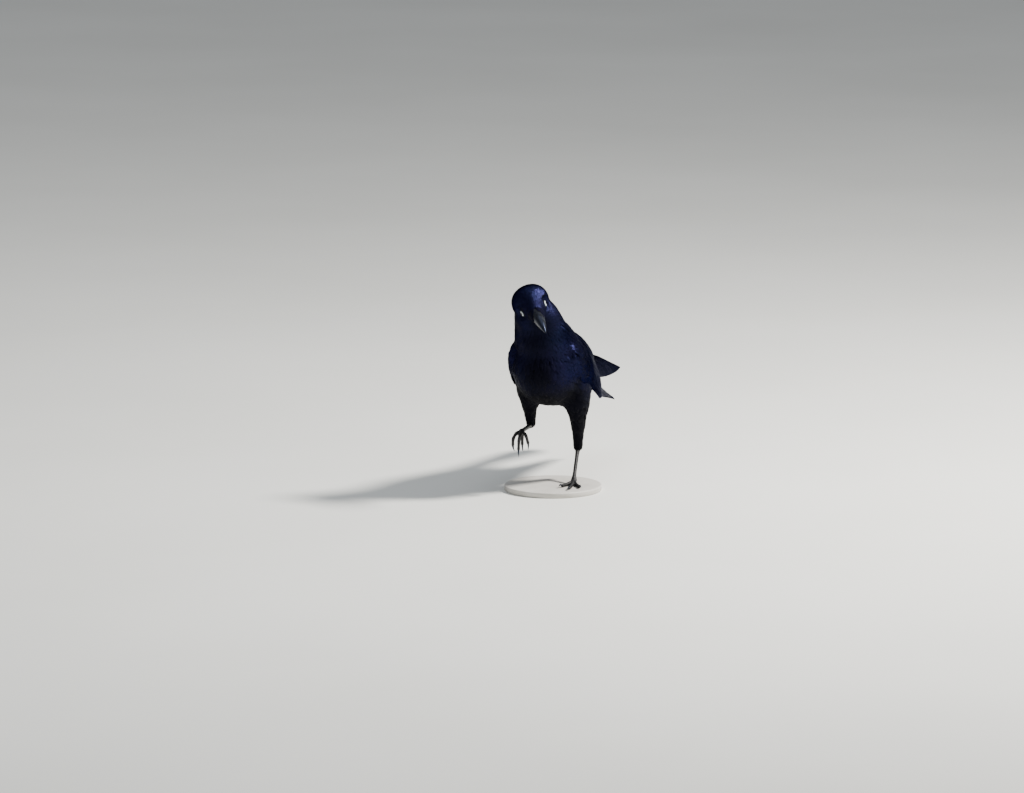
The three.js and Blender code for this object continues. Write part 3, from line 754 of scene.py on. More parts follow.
# The anchors as arrays: place, lie and the values of coatKeys, with paired ones on both sides.
def coatAnchors():
    places, lies, values = [], [], []
    for anchor in coat:
        both = anchor.get("pair", 0) == 1 or anchor.get("head", 0) == 2
        for side in ((1, -1) if both else (1,)):
            place, lie = (np.array(anchor[key], float) for key in ("at", "lie"))
            across = 1 if "head" in anchor else 0
            place[across] *= side
            lie[across] *= side
            if "head" in anchor:
                place, lie = inHead(place), lie @ axes
            places.append(place)
            lies.append(unit(lie))
            values.append([anchor[key] for key in coatKeys])
    return np.array(places), np.array(lies), np.array(values)


anchorPlaces, anchorLies, anchorValues = coatAnchors()


# Blend of the anchors at points, each weighted by 1 / distance^4.
def coatAt(points):
    apart = ((points[:, None, :] - anchorPlaces[None]) ** 2).sum(-1)
    weight = 1 / (apart + 4) ** 2
    weight /= weight.sum(1, keepdims=True)
    return weight @ anchorLies, dict(zip(coatKeys, (weight @ anchorValues).T))


eye = {
    "radius": 7, "centre": (1.5, 12.1, 0.8), "forwardTurn": 16, "upTurn": 3, "opening": 35, "brow": 1.6,
    # the skin round it: distance from the axis, and height along it
    "socket": [[0, 4.7], [4, 4.7], [5, 4.9], [6, 4.9], [7.2, 4.6], [9, 3.9], [11, 3]],
    "socketEnd": (7.2, 11.5),
    # the lid's profile from its inner edge: share of the opening, height over the eyeball
    "lid": [[0.97, -0.25], [0.985, 0.05], [1.03, 0.18], [1.1, 0.2], [1.18, 0.08], [1.28, -0.1], [1.4, -0.35],
            [1.55, -0.7]],
}


def eyeAxes(side):
    forward, up = math.radians(eye["forwardTurn"]), math.radians(eye["upTurn"])
    centre = inHead(np.array(eye["centre"]) * [1, side, 1])
    local = np.array([math.sin(forward) * math.cos(up), side * math.cos(forward) * math.cos(up), math.sin(up)])
    axis = local @ axes
    across = unit(np.cross(axes[2], axis))
    return centre, axis, across, np.cross(axis, across)


# Distance of points from the line through an eye along its axis.
def eyeDistance(points, side):
    centre, axis, _, _ = eyeAxes(side)
    away = points - centre
    beside = (away @ axis) < 0
    return np.where(beside, 99.0, np.linalg.norm(away - (away @ axis)[:, None] * axis, axis=1))


# Modelling of the head: a brow over each eye, a hollow lore before it, and the skin round the eye drawn to the
# socket's height along the eye's axis, fully inside socketEnd's first distance and not at all beyond its second.
def modelHead(points, normals):
    local = toHead(points)
    shift = np.zeros(len(points))
    for side in (1, -1):
        sameSide = smoothStep(2, 8, side * local[:, 1])
        shift += eye["brow"] * sameSide * np.exp(-((local[:, 2] - 9.5) / 3) ** 2 - ((local[:, 0] - 2) / 8) ** 2)
        shift -= 0.8 * sameSide * np.exp(-((local[:, 2] - 0) / 4) ** 2 - ((local[:, 0] - 11.5) / 4) ** 2)
    near = smoothStep(70, 45, np.linalg.norm(points - headOrigin, axis=1))
    points = points + normals * (shift * near)[:, None]
    low, high = eye["socketEnd"]
    distances, heights = np.array(eye["socket"]).T
    for side in (1, -1):
        centre, axis, _, _ = eyeAxes(side)
        apart = eyeDistance(points, side)
        lifted = np.interp(apart, distances, heights) - (points - centre) @ axis
        points = points + (smoothStep(high, low, apart) * lifted)[:, None] * axis
    return points


def makeSkin():
    tubes = [tubeOf(trunkRings()), tubeOf(limbRings(body["neck"], 6, 72)), tubeOf(skullRings())]
    tubes += [tubeOf(limbRings(path, 8, 40)) for path in body["thighs"].values()]
    tubes += [tubeOf(wingFlesh(side)) for side in sides.values()] + [tailSlab(tail["flesh"])]
    mesh = skinOver("skin", tubes, body["voxel"], body["smoothing"], body["closing"], body["melting"],
                    lambda points: np.maximum(smoothStep(1.2, 2.6, coatAt(points)[1]["depth"]),
                                              smoothStep(4, -24, points[:, 1]) * (points[:, 2] < 222)))
    points = modelHead(pointsOf(mesh), normalsOf(mesh))
    movePoints(mesh, points)
    _, values = coatAt(points)
    points = points - normalsOf(mesh) * values["depth"][:, None]
    movePoints(mesh, sinkUnderBlade(points))
    addPiece("skin", mesh, downyBlack,
             ["head", "neck", "trunk", "thigh_left", "thigh_right", "wing_left_shoulder", "wing_right_shoulder"])
    return points, [tuple(face.vertices) for face in mesh.polygons]


skinPoints, skinFaces = makeSkin()


# What feathers are combed over: the skin, and the tail's slab beyond it.
def makeCombTree():
    slabPoints, slabFaces = tailSlab([[30, 13, 3.2], [50, 13.5, 2.8], [80, 15, 1.8], [120, 15, 1.2]])
    points = np.vstack([skinPoints, slabPoints])
    faces = list(skinFaces)
    for some in slabFaces:
        faces += [tuple(face) for face in (some + len(skinPoints)).tolist()]
    return BVHTree.FromPolygons([tuple(p) for p in points], faces)


combTree = makeCombTree()
print("skin made:", len(skinFaces), "faces")


# ---- feathers over the skin ----

bodyColumns = (-1, -0.5, 0, 0.5, 1)
fineColumns = (-1, 0, 1)
flightColumns = (-1, -0.8, -0.55, -0.3, -0.07, 0, 0.07, 0.3, 0.55, 0.8, 1)


# The ring of a closed vane: places across the top face, then back along the underside at fewer places.
def vaneRing(columns, under):
    across = np.concatenate([columns, under])
    face = np.concatenate([np.sign(1 - np.abs(np.array(columns, float))), -np.ones(len(under))])
    return across, face, len(columns) - 1


# Puts vanes of one kind into one mesh: quads round each ring and a cap on each end. Vane holds the place across
# and along each feather, OFBake a patch at its root's place on the unwrapped skin.
def vaneMesh(name, rings, ring, share, lengths, tone, gloss, unwrapped):
    across, _, corner = ring
    count, rows, round_ = rings.shape[:3]
    grid = np.arange(rows * round_).reshape(rows, round_)
    turned = np.roll(grid, -1, 1)
    quads = np.stack([grid[:-1], grid[1:], turned[1:], turned[:-1]], -1).reshape(-1, 4)
    caps = np.stack([grid[0], grid[-1][::-1]])
    offset = (np.arange(count) * rows * round_)[:, None, None]
    mesh = meshOf(name, rings.reshape(-1, 3), [(faces[None] + offset).reshape(-1, faces.shape[1])
                                               for faces in (quads, caps)])
    loops = np.empty(len(mesh.loops), np.int32)
    mesh.loops.foreach_get("vertex_index", loops)
    u = np.broadcast_to(across[None, None, :], rings.shape[:3])
    v = np.broadcast_to(share[None, :, None], rings.shape[:3])
    shape = (count, 1, 1)
    patch = 0.003
    maps = {
        "Vane": (u, v * lengths.reshape(shape) / 20),
        "OFBake": (unwrapped[:, 0].reshape(shape) + patch * (u + 1) / 2, unwrapped[:, 1].reshape(shape) + patch * v),
    }
    for label, pair in maps.items():
        layer = mesh.uv_layers.new(name=label)
        layer.uv.foreach_set("vector", np.stack(pair, -1).reshape(-1, 2)[loops].astype(np.float32).ravel())
    # gloss carries the sheen and, on the underside, painted shade too
    for label, values in (("tone", tone), ("gloss", gloss)):
        spread = np.broadcast_to(values.reshape(shape), rings.shape[:3]).astype(np.float32)
        mesh.attributes.new(label, "FLOAT", "POINT").data.foreach_set("value", spread.ravel())
    ends = np.empty(len(mesh.edges) * 2, np.int32)
    mesh.edges.foreach_get("vertices", ends)
    column = ends.reshape(-1, 2) % round_
    sharp = (column[:, 0] == column[:, 1]) & ((column[:, 0] == 0) | (column[:, 0] == corner))
    mesh.attributes.new("sharp_edge", "BOOLEAN", "EDGE").data.foreach_set("value", sharp)
    return mesh


# Place of points on a skin unwrapped along a path: how far along it, and the angle round it.
def unwrap(points, path):
    starts, steps = path[:-1], np.diff(path, axis=0)
    run = np.linalg.norm(steps, axis=1)
    t = np.clip(np.einsum("nsk,sk->ns", points[:, None] - starts[None], steps) / run ** 2, 0, 1)
    away = points[:, None] - (starts[None] + t[..., None] * steps[None])
    best = np.argmin((away ** 2).sum(-1), 1)
    pick = np.arange(len(points))
    along = (np.concatenate([[0], np.cumsum(run)])[best] + t[pick, best] * run[best]) / run.sum()
    tangent = steps[best] / run[best][:, None]
    sideways = unit(np.cross(tangent, [0.05, 0.1, 1.0]))
    up = np.cross(sideways, tangent)
    out = away[pick, best]
    angle = np.arctan2((out * sideways).sum(1), (out * up).sum(1)) / (2 * np.pi) + 0.5
    return np.stack([0.01 + 0.97 * angle, 0.01 + 0.97 * along], -1)


trunkSpine = np.array([[0, y, (top + under) / 2] for y, top, under, _ in body["trunk"]])
neckSpine = np.array(body["neck"])[::-1, :3]
skullSpine = inHead(np.array([[ahead, 0, (top + under) / 2] for ahead, _, top, under in body["skull"]][::-1]))
spines = {
    "head": skullSpine,
    "neck": neckSpine,
    "trunk": trunkSpine,
    "thighLeft": np.array(body["thighs"]["left"])[:, :3],
    "thighRight": np.array(body["thighs"]["right"])[:, :3],
    "wingLeft": wingPoint(1, np.linspace(-60, 237, 12), np.full(12, 0.5), 0.0) - [12.0, 0, 0],
    "wingRight": wingPoint(-1, np.linspace(-60, 237, 12), np.full(12, 0.5), 0.0) + [12.0, 0, 0],
}


# Feather roots spread over the skin: random points on the faces, thicker where the spacing is small, thinned in
# random order until none is nearer to a kept one than its spacing.
def scatterRoots(keep, crowding=4.5):
    faces = np.array(skinFaces)
    corners = skinPoints[faces]
    centre = corners.mean(1)
    area = 0.5 * np.linalg.norm(np.cross(corners[:, 2] - corners[:, 0], corners[:, 3] - corners[:, 1]), axis=1)
    _, values = coatAt(centre)
    want = area / values["spacing"] ** 2 * keep(centre)
    chosen = dice.choice(len(faces), int(want.sum() * crowding), p=want / want.sum())
    a, b = dice.random((2, len(chosen), 1))
    c = corners[chosen]
    points = lerp(lerp(c[:, 0], c[:, 1], a), lerp(c[:, 3], c[:, 2], a), b)
    spacing = values["spacing"][chosen]
    tree = KDTree(len(points))
    for i, point in enumerate(points):
        tree.insert(point, i)
    tree.balance()
    free = np.ones(len(points), bool)
    kept = []
    for i in range(len(points)):
        if free[i]:
            kept.append(i)
            free[[found[1] for found in tree.find_range(points[i], spacing[i])]] = False
    return points[kept]


# Middle lines of feathers: steps along the lie, each brought back onto the skin, which turns the lie with it.
def combOver(roots, lies, lengths, rows):
    lines, normals = [], []
    place, lie = roots, lies
    for row in range(rows):
        found = [combTree.find_nearest(Vector(p)) for p in place]
        place = np.array([hit[0] for hit in found])
        normal = np.array([hit[1] for hit in found])
        lie = unit(lie - normal * (lie * normal).sum(1, keepdims=True))
        lines.append(place)
        normals.append(normal)
        place = place + lie * (lengths / (rows - 1))[:, None]
    return np.stack(lines, 1), np.stack(normals, 1)


contour = {
    "rows": 7, "thickness": 0.16, "camber": 0.11, "yaw": 7, "sizeSpread": 0.12, "tilt": 3, "fray": 0.05,
    "lieTurn": 0.35,
}


# Body feathers: a rounded vane round each middle line. Half-width is width / 2 * s^0.45 up to the middle and
# sqrt(1 - q^2) towards the tip, the height over the skin rises from nothing to the coat's depth, and the vane
# bends down to its edges.
def contourFeathers(name, roots, piece, material, columns, pointed):
    lies, values = coatAt(roots)
    count = len(roots)
    found = [combTree.find_nearest(Vector(p)) for p in roots]
    normal = np.array([hit[1] for hit in found])
    lie = unit(lies - normal * (lies * normal).sum(1, keepdims=True))
    turn = np.radians(dice.normal(0, contour["yaw"], count))[:, None]
    lie = lie * np.cos(turn) + np.cross(normal, lie) * np.sin(turn)
    size = 1 + dice.uniform(-1, 1, count) * contour["sizeSpread"]
    lengths = values["length"] * size
    rows = contour["rows"]
    lines, normals = combOver(roots, lie, lengths, rows)
    normals = unit(normals + np.roll(normals, 1, 1) * (np.arange(rows) > 0)[None, :, None])
    share = np.linspace(0, 1, rows)
    ring = vaneRing(columns, (0,))
    across, face, _ = ring
    tangent = unit(np.gradient(lines, axis=1))
    sideways = unit(np.cross(normals, tangent))
    tipFrom = lerp(0.55, 0.25, pointed)
    q = np.clip((share - tipFrom) / (1.04 - tipFrom), 0, 1)
    outline = np.minimum(share / 0.5 + 0.08, 1) ** 0.45 * np.sqrt(1 - q ** lerp(2.2, 1.3, pointed))
    half = (values["width"] * size / 2)[:, None] * outline[None]
    rise = 0.08 + 0.92 * np.sin(np.pi / 2 * np.minimum(share * 1.15, 1)) ** 1.2
    lift = values["depth"][:, None] * rise[None] * (1 + dice.uniform(-0.14, 0.08, count))[:, None]
    tilt = np.radians(dice.normal(0, contour["tilt"], count))[:, None, None]
    u = across[None, None, :]
    off = half[..., None] * u
    up = lift[..., None] + off * np.sin(tilt) - contour["camber"] * half[..., None] * u ** 2
    up = up + contour["thickness"] / 2 * face * (1 - 0.6 * share[None, :, None])
    fray = dice.normal(0, contour["fray"], (count, 1, len(across))) * lengths[:, None, None]
    fray = fray * smoothStep(0.55, 1, share)[None, :, None] - lengths[:, None, None] * 0.06 * (
        u ** 2 * smoothStep(0.6, 1, share)[None, :, None])
    rings = (lines[:, :, None] + sideways[:, :, None] * off[..., None] + normals[:, :, None] * up[..., None]
             + tangent[:, :, None] * fray[..., None])
    spine = spines[piece]
    # the coat's gloss, low on the underside as painted shade as well as duller plumage
    mesh = vaneMesh(name, rings, ring, share, lengths, dice.random(count), np.clip(values["gloss"], 0, 1),
                    unwrap(roots, spine))
    addPiece(name, mesh, material)
    print(name, count, "feathers")


# Where body feathers may root: not on the eyes, the bill's base or the part of the wing under its covert rows.
def rootable(points):
    onHead = np.linalg.norm(points - headOrigin, axis=1) < 45
    onBill = onHead & (toHead(points)[:, 0] > 18.5)
    onEye = onHead & (np.minimum(eyeDistance(points, 1), eyeDistance(points, -1)) < 4.95)
    t, outward = wingPlace(points)
    onWing = (t > 0.2) & (t < 0.98) & (outward > -3) & (points[:, 1] > 12) & (points[:, 1] < 112)
    onShin = points[:, 2] < np.where(points[:, 0] > 0, 50, 83)
    onTail = points[:, 1] > 164
    return (~onBill & ~onEye & ~onWing & ~onShin & ~onTail).astype(float)


# Splits the roots into the coat's pieces by where they are.
def coverWithFeathers():
    roots = scatterRoots(rootable)
    local = toHead(roots)
    x, y, z = roots.T
    t, outward = wingPlace(roots)
    isHead = (np.linalg.norm(roots - headOrigin, axis=1) < 60) & (local[:, 0] > -31) & (
        local[:, 2] > -24 - 0.1 * local[:, 0])
    onWing = ~isHead & (outward > -2.5) & (t > 0.02) & (t < 1.05) & (y > -62) & (y < 112) & (np.abs(x) > 38)
    leg = ~isHead & ~onWing & (z < np.where(x > 0, 112, 122)) & (
        np.hypot(np.abs(x) - 33, y - 5 - (105 - z) * 0.45) < lerp(17.0, 21.0, np.clip((z - 60) / 50, 0, 1)))
    neck = ~isHead & ~onWing & ~leg & (z - 0.55 * y > 236)
    rest = ~(isHead | onWing | leg | neck)
    middle = np.interp(y, trunkSpine[:, 0 + 1], trunkSpine[:, 2])
    above = rest & (z > middle + 8)
    under = rest & ~above
    groups = [
        ("featherFace", isHead & (local[:, 0] > -8), "head", fineFeather, fineColumns, 0.5),
        ("featherCrown", isHead & (local[:, 0] <= -8), "head", fineFeather, fineColumns, 0.5),
        ("featherNeckFront", neck & (y < -72), "neck", fineFeather, bodyColumns, 0.75),
        ("featherNeckBack", neck & (y >= -72), "neck", fineFeather, bodyColumns, 0.6),
        ("featherBreast", under & (y < -30), "trunk", bodyFeather, bodyColumns, 0.35),
        ("featherBelly", under & (y >= -30) & (y < 70), "trunk", bodyFeather, bodyColumns, 0.3),
        ("featherUnderTail", under & (y >= 70), "trunk", bodyFeather, bodyColumns, 0.35),
        ("featherMantle", above & (y < 20), "trunk", bodyFeather, bodyColumns, 0.2),
        ("featherRump", above & (y >= 20), "trunk", bodyFeather, bodyColumns, 0.25),
        ("featherThighLeft", leg & (x > 0), "thighLeft", fineFeather, bodyColumns, 0.5),
        ("featherThighRight", leg & (x <= 0), "thighRight", fineFeather, bodyColumns, 0.5),
        ("featherShoulderLeft", onWing & (x > 0), "wingLeft", bodyFeather, bodyColumns, 0.1),
        ("featherShoulderRight", onWing & (x <= 0), "wingRight", bodyFeather, bodyColumns, 0.1),
    ]
    for name, chosen, spine, material, columns, pointed in groups:
        contourFeathers(name, roots[chosen], spine, material, columns, pointed)


coverWithFeathers()


# ---- wing feathers ----

# Ranks of feathers on the folded wing, lowest first. Each list runs from the innermost feather, on top, to the
# outermost: y and t of root and tip, half-width, and the layer between the wing's inner (-1) and outer (1) face
# at root and tip. shaft is where the shaft runs between the vane's edges, and sag is how far its middle hangs.
wingRanks = [
    dict(name="primaries", count=9, rootY=(66, 50), rootT=(0.40, 0.86), tipY=(150, 158, 168, 180, 194, 209, 223, 237, 230),
         tipT=(0.13, 0.12, 0.13, 0.15, 0.18, 0.24, 0.33, 0.50, 0.74), half=(9, 6.5), rootLayer=(-0.3, -0.8),
         layer=(0.05, -0.75), tipFrom=0.74, shaft=-0.3, sag=2.5, camber=0.5),
    dict(name="secondaries", count=11, rootY=(18, 0), rootT=(0.0, 0.78), tipY=(152, 140, 129, 120, 111),
         tipT=(0.15, 0.38, 0.60, 0.79, 0.94), half=(11, 8.5), rootLayer=(0.6, 0.1), layer=(0.85, 0.15),
         tipFrom=0.86, shaft=-0.2, sag=1.5, camber=0.6),
    dict(name="tertials", count=5, rootY=(4, -6), rootT=(0.02, 0.12), tipY=(112, 122, 131, 139, 145),
         tipT=(0.02, 0.05, 0.09, 0.13, 0.18), half=(9.5, 9.5), rootLayer=(0.2, 0.2), layer=(1.5, 1.0), tipFrom=0.8,
         shaft=-0.1, sag=0, camber=0.8),
    dict(name="primaryCoverts", count=8, rootY=(-6, -24), rootT=(0.72, 0.93), tipY=(60, 68, 69, 61),
         tipT=(0.86, 0.92, 0.955, 0.975), half=(5.5, 4), rootLayer=(0.2, 0.2), layer=(0.7, 0.45),
         tipFrom=0.8, shaft=-0.2, sag=0.5, camber=0.4),
    dict(name="alula", count=4, rootY=(-30, -38), rootT=(0.78, 0.93), tipY=(16, 4, -10), tipT=(0.84, 0.9, 0.95),
         half=(5.5, 4), rootLayer=(0.4, 0.4), layer=(0.95, 0.85), tipFrom=0.8, shaft=-0.1, sag=0, camber=0.4),
    dict(name="greaterCoverts", count=12, rootY=(12, -16), rootT=(0.02, 0.80), tipY=(66, 54, 40),
         tipT=(0.09, 0.50, 0.87), half=(5.6, 4.6), rootLayer=(0.4, 0.4), layer=(1.05, 0.85), tipFrom=0.78,
         shaft=0, sag=0.5, camber=0.8),
    dict(name="medianCoverts", count=14, rootY=(-10, -28), rootT=(0.02, 0.84), tipY=(32, 21, 6),
         tipT=(0.07, 0.50, 0.86), half=(5.0, 4.3), rootLayer=(0.4, 0.4), layer=(1.3, 1.1), tipFrom=0.66,
         shaft=0, sag=0, camber=0.6),
]
flight = {"rows": 34, "thickness": 0.42, "shaftRidge": 0.28, "shingle": 0.11}


# Shares along a flight feather, closer together at the tip so that its end is round.
def flightShares(rows):
    s = np.linspace(0, 1, rows)
    return lerp(s, np.sin(np.pi / 2 * s), 0.75)


# Outline of a flight feather: widens as (s / 0.3)^0.5, then ends in a half ellipse from tipFrom on.
def flightOutline(share, tipFrom):
    q = np.clip((share - tipFrom) / (1.001 - tipFrom), 0, 1)
    return np.minimum(share / 0.3 + 0.05, 1) ** 0.5 * np.sqrt(np.maximum(1 - q ** 2, 0))


# A rank of wing feathers as vanes in the wing's own (y, t) surface, each on its own layer.
def wingRank(rank, side):
    count = rank["count"]
    order = np.linspace(0, 1, count)
    spread = lambda key: np.interp(order, np.linspace(0, 1, len(rank[key])), rank[key])[:, None]
    share = flightShares(flight["rows"])[None, :]
    ring = vaneRing(flightColumns, flightColumns[-2:0:-1])
    across, face, _ = ring
    y = lerp(spread("rootY"), spread("tipY") + dice.normal(0, 0.8, (count, 1)), share)
    half = spread("half") * flightOutline(share, rank["tipFrom"])
    chord = np.hypot(wingColumn(y, 2) - wingColumn(y, 4), wingColumn(y, 1) - wingColumn(y, 3))
    halfT = np.minimum(half / chord, 0.5)
    edges = lambda y, t: lerp(wingColumn(y, 2), wingColumn(y, 4), t)
    level = lerp(edges(spread("rootY"), spread("rootT")), edges(spread("tipY"), spread("tipT")), share)
    level = level - rank["sag"] * 4 * share * (1 - share)
    middle = (wingColumn(y, 2) - level) / (wingColumn(y, 2) - wingColumn(y, 4))
    middle = np.clip(middle, halfT * 0.6, 1 - halfT)[..., None]
    u = across[None, None, :]
    t = middle + halfT[..., None] * (u + rank["shaft"] * (u ** 2 - 1))
    thick = wingColumn(y, 6)[..., None] / 2
    up = flight["thickness"] / 2 * face * np.sqrt(np.maximum(1 - u ** 2, 0)) * (1 - 0.5 * share[..., None])
    up = up + flight["shaftRidge"] * np.exp(-(u / 0.09) ** 2) * face * (1 - 0.8 * share[..., None])
    up = up - rank["camber"] * u ** 2 * (half / np.maximum(spread("half"), 1))[..., None]
    up = up + flight["shingle"] * u * half[..., None] + dice.normal(0, 0.08, (count, 1, 1)) * share[..., None]
    climb = smoothStep(0, 0.55, share[..., None])
    layer = lerp(spread("rootLayer")[..., None], spread("layer")[..., None], climb) + up / np.maximum(thick, 0.4)
    rings = wingPoint(side, y[..., None] + 0 * u, t, layer)
    return rings, ring, share[0], (spread("tipY") - spread("rootY"))[:, 0]


def wingFeathers(sideName):
    side = sides[sideName]
    ranks = {"primaries": "Primaries", "secondaries": "Secondaries"}
    rest = []
    for rank in wingRanks:
        rings, ring, share, lengths = wingRank(rank, side)
        count = rank["count"]
        gloss = np.full(count, 1.0)
        tone = dice.random(count)
        roots = unwrap(rings[:, 0].mean(1), spines["wing" + sideName.capitalize()])
        if rank["name"] in ranks:
            name = "wing" + sideName.capitalize() + ranks[rank["name"]]
            mesh = vaneMesh(name, rings, ring, share, lengths, tone, gloss, roots)
            addPiece(name, mesh, flightFeather, ["wing_" + sideName + "_" + rank["name"]])
        else:
            rest.append((rings, lengths, tone, gloss, roots))
    name = "wing" + sideName.capitalize() + "Coverts"
    rings, lengths, tone, gloss, roots = (np.concatenate(parts) for parts in zip(*rest))
    mesh = vaneMesh(name, rings, ring, share, lengths, tone, gloss, roots)
    addPiece(name, mesh, flightFeather)


for sideName in sides:
    wingFeathers(sideName)
print("wing feathers made")


# ---- tail ----

# Tail feathers fanned from the root: along the fan's angle by s * length, across by the fan's half-width, the
# middle pair on top and each pair further out a layer lower.
def tailFeathers():
    back, left, rise = tailAxes()
    share = flightShares(flight["rows"])[None, :]
    ring = vaneRing(flightColumns, flightColumns[-2:0:-1])
    across, face, _ = ring
    fan = (np.linspace(-1, 1, tail["count"]) * tail["spread"])[:, None]
    outerness = np.abs(fan) / tail["spread"]
    length = lerp(tail["middle"], tail["outer"], outerness ** 2)
    angle = np.radians(tail["fan"] * fan)
    half = tail["half"] * flightOutline(share, 0.9)
    u = across[None, None, :]
    vane = half[..., None] * (u + 0.2 * np.sign(fan)[..., None] * (u ** 2 - 1))
    sideways = (share * length * np.sin(angle) + lerp(tail["rootHalf"], tail["tipHalf"], share) * fan)[..., None]
    thick = (lerp(tail["rootThick"], tail["tipThick"], share ** 0.7) / 2)[..., None]
    layer = lerp(0.8, -0.8, outerness)[..., None] + 0.07 * np.sign(fan)[..., None]
    up = layer * thick - tail["droop"] * u ** 2 * (half / tail["half"])[..., None]
    up = up + flight["thickness"] / 2 * face * np.sqrt(np.maximum(1 - u ** 2, 0)) * (1 - 0.5 * share[..., None])
    up = up + flight["shaftRidge"] * np.exp(-(u / 0.09) ** 2) * face * (1 - 0.8 * share[..., None])
    reach = (share * length * np.cos(angle))[..., None] + 0 * u
    rings = (np.array(tail["root"]) + reach[..., None] * back + (sideways + vane)[..., None] * left
             + up[..., None] * rise)
    spine = np.array([tail["root"], np.array(tail["root"]) + back * tail["middle"]], float)
    mesh = vaneMesh("tailFeathers", rings, ring, share[0], np.broadcast_to(length[:, 0], (tail["count"],)),
                    dice.random(tail["count"]), np.full(tail["count"], 1.0),
                    unwrap(rings[:, 0].mean(1) + rise * 2, spine))
    addPiece("tailFeathers", mesh, flightFeather, ["tail"])


tailFeathers()
print("tail made")


# ---- bill ----

bill = {
    # ahead, half-width, top, underside, in the head's frame
    "stations": [
        [8, 9.7, 7.8, -12.6], [20, 9.4, 8.8, -12.9], [31, 8, 7.7, -12.5], [41, 6.4, 5, -11.5], [50, 4.5, 1.2, -10.3],
        [56.5, 2.8, -2.9, -9.3], [60, 1.5, -5.9, -9.2], [61.6, 0.75, -7.6, -9.1],
        [62.3, 0.2, -8.7, -9.1],
    ],
    "edge": (-3, -4.4, 62), "hook": (53, 62.3, 1.75), "lowerEnd": 56, "gap": 0.3, "ridge": 0.55, "lip": 0.35,
}
billRows = splineRows(bill["stations"], 30)


# Height of the cutting edge: a cubic droop, and a square one into the hook.
def billEdge(ahead):
    level, droop, reach = bill["edge"]
    start, end, hook = bill["hook"]
    return level + droop * (ahead / reach) ** 3 - hook * np.clip((ahead - start) / (end - start), 0, 1) ** 2


# A point of the upper bill: angle 0 is its left cutting edge, pi / 2 the ridge and pi the right edge. The side
# rises as sin^0.85 and narrows as cos^0.8, which leaves a low ridge on top.
def upperBill(ahead, angle, out=0.0):
    wide, top = (np.interp(ahead, billRows[:, 0], billRows[:, column]) for column in (1, 2))
    c, s = np.cos(angle), np.sin(angle)
    edge = billEdge(ahead)
    across = (wide + out) * np.sign(c) * np.abs(c) ** 0.82 * (1 - 0.06 * np.abs(s) ** 6)
    rise = edge + (top + out - edge) * np.abs(s) ** 0.92
    return inHead(np.stack([ahead + 0 * angle, across, rise], -1))


# A point of the lower bill: the same section downward, a little narrower, ending in a blunt edge.
def lowerBill(ahead, angle, out=0.0):
    wide, low = (np.interp(ahead, billRows[:, 0], billRows[:, column]) for column in (1, 3))
    end = np.sqrt(np.maximum(1 - smoothStep(48, bill["lowerEnd"] + 0.6, ahead) ** 2, 0.01))
    c, s = np.cos(angle), np.sin(angle)
    edge = billEdge(ahead) - bill["gap"]
    across = (wide * lerp(0.93, 0.8, ahead / 56) + out) * np.sign(c) * np.abs(c) ** 0.85 * lerp(0.5, 1, end)
    drop = edge - (edge - low + out) * np.abs(s) ** 0.9 * end
    return inHead(np.stack([ahead + 0 * angle, across, drop], -1))


# The upper bill closed underneath by a palate a little above the cutting edges, and the lower bill closed on top.
def makeBill():
    ahead = np.concatenate([np.linspace(8, 54, 60), lerp(54, 62.2, np.sin(np.linspace(0, np.pi / 2, 24))[1:])])
    angle = np.linspace(0, np.pi, 41)
    upper = upperBill(ahead[:, None], angle[None, :])
    wide = np.interp(ahead, billRows[:, 0], billRows[:, 1])[:, None]
    u = np.linspace(-0.92, 0.92, 13)[None, :]
    palate = billEdge(ahead)[:, None] + bill["lip"] * (1 - u ** 4) * np.minimum(wide / 3, 1)
    under = inHead(np.stack([ahead[:, None] + 0 * u, wide * u, palate], -1))
    points, faces = tubeOf(np.concatenate([upper, under], 1))
    addPiece("upperBill", meshOf("upperBill", points, faces), blackHorn, ["bill_upper"])

    ahead = lerp(8, bill["lowerEnd"], np.sin(np.linspace(0, np.pi / 2, 60)))[:, None]
    lower = lowerBill(ahead, angle[None, :])
    end = np.sqrt(np.maximum(1 - smoothStep(48, bill["lowerEnd"] + 0.6, ahead) ** 2, 0.01))
    wide = np.interp(ahead, billRows[:, 0], billRows[:, 1])
    floor_ = inHead(np.stack([ahead + 0 * u, -wide * 0.8 * u * lerp(0.5, 1, end),
                              billEdge(ahead) - bill["gap"] - 0.2 * (1 - u ** 4)], -1))
    points, faces = tubeOf(np.concatenate([lower, floor_[:, ::-1]], 1))
    addPiece("lowerBill", meshOf("lowerBill", points, faces), blackHorn, ["bill_lower"])


makeBill()

# start and length are in mm along the bill, low is the angle that the upper ones draw together to
bristles = {"upper": 600, "lower": 260, "start": (9, 18), "length": (10, 19), "chinLength": (5, 9), "low": 0.72,
            "width": 0.7, "rows": 7, "lift": (0.15, 1.2)}


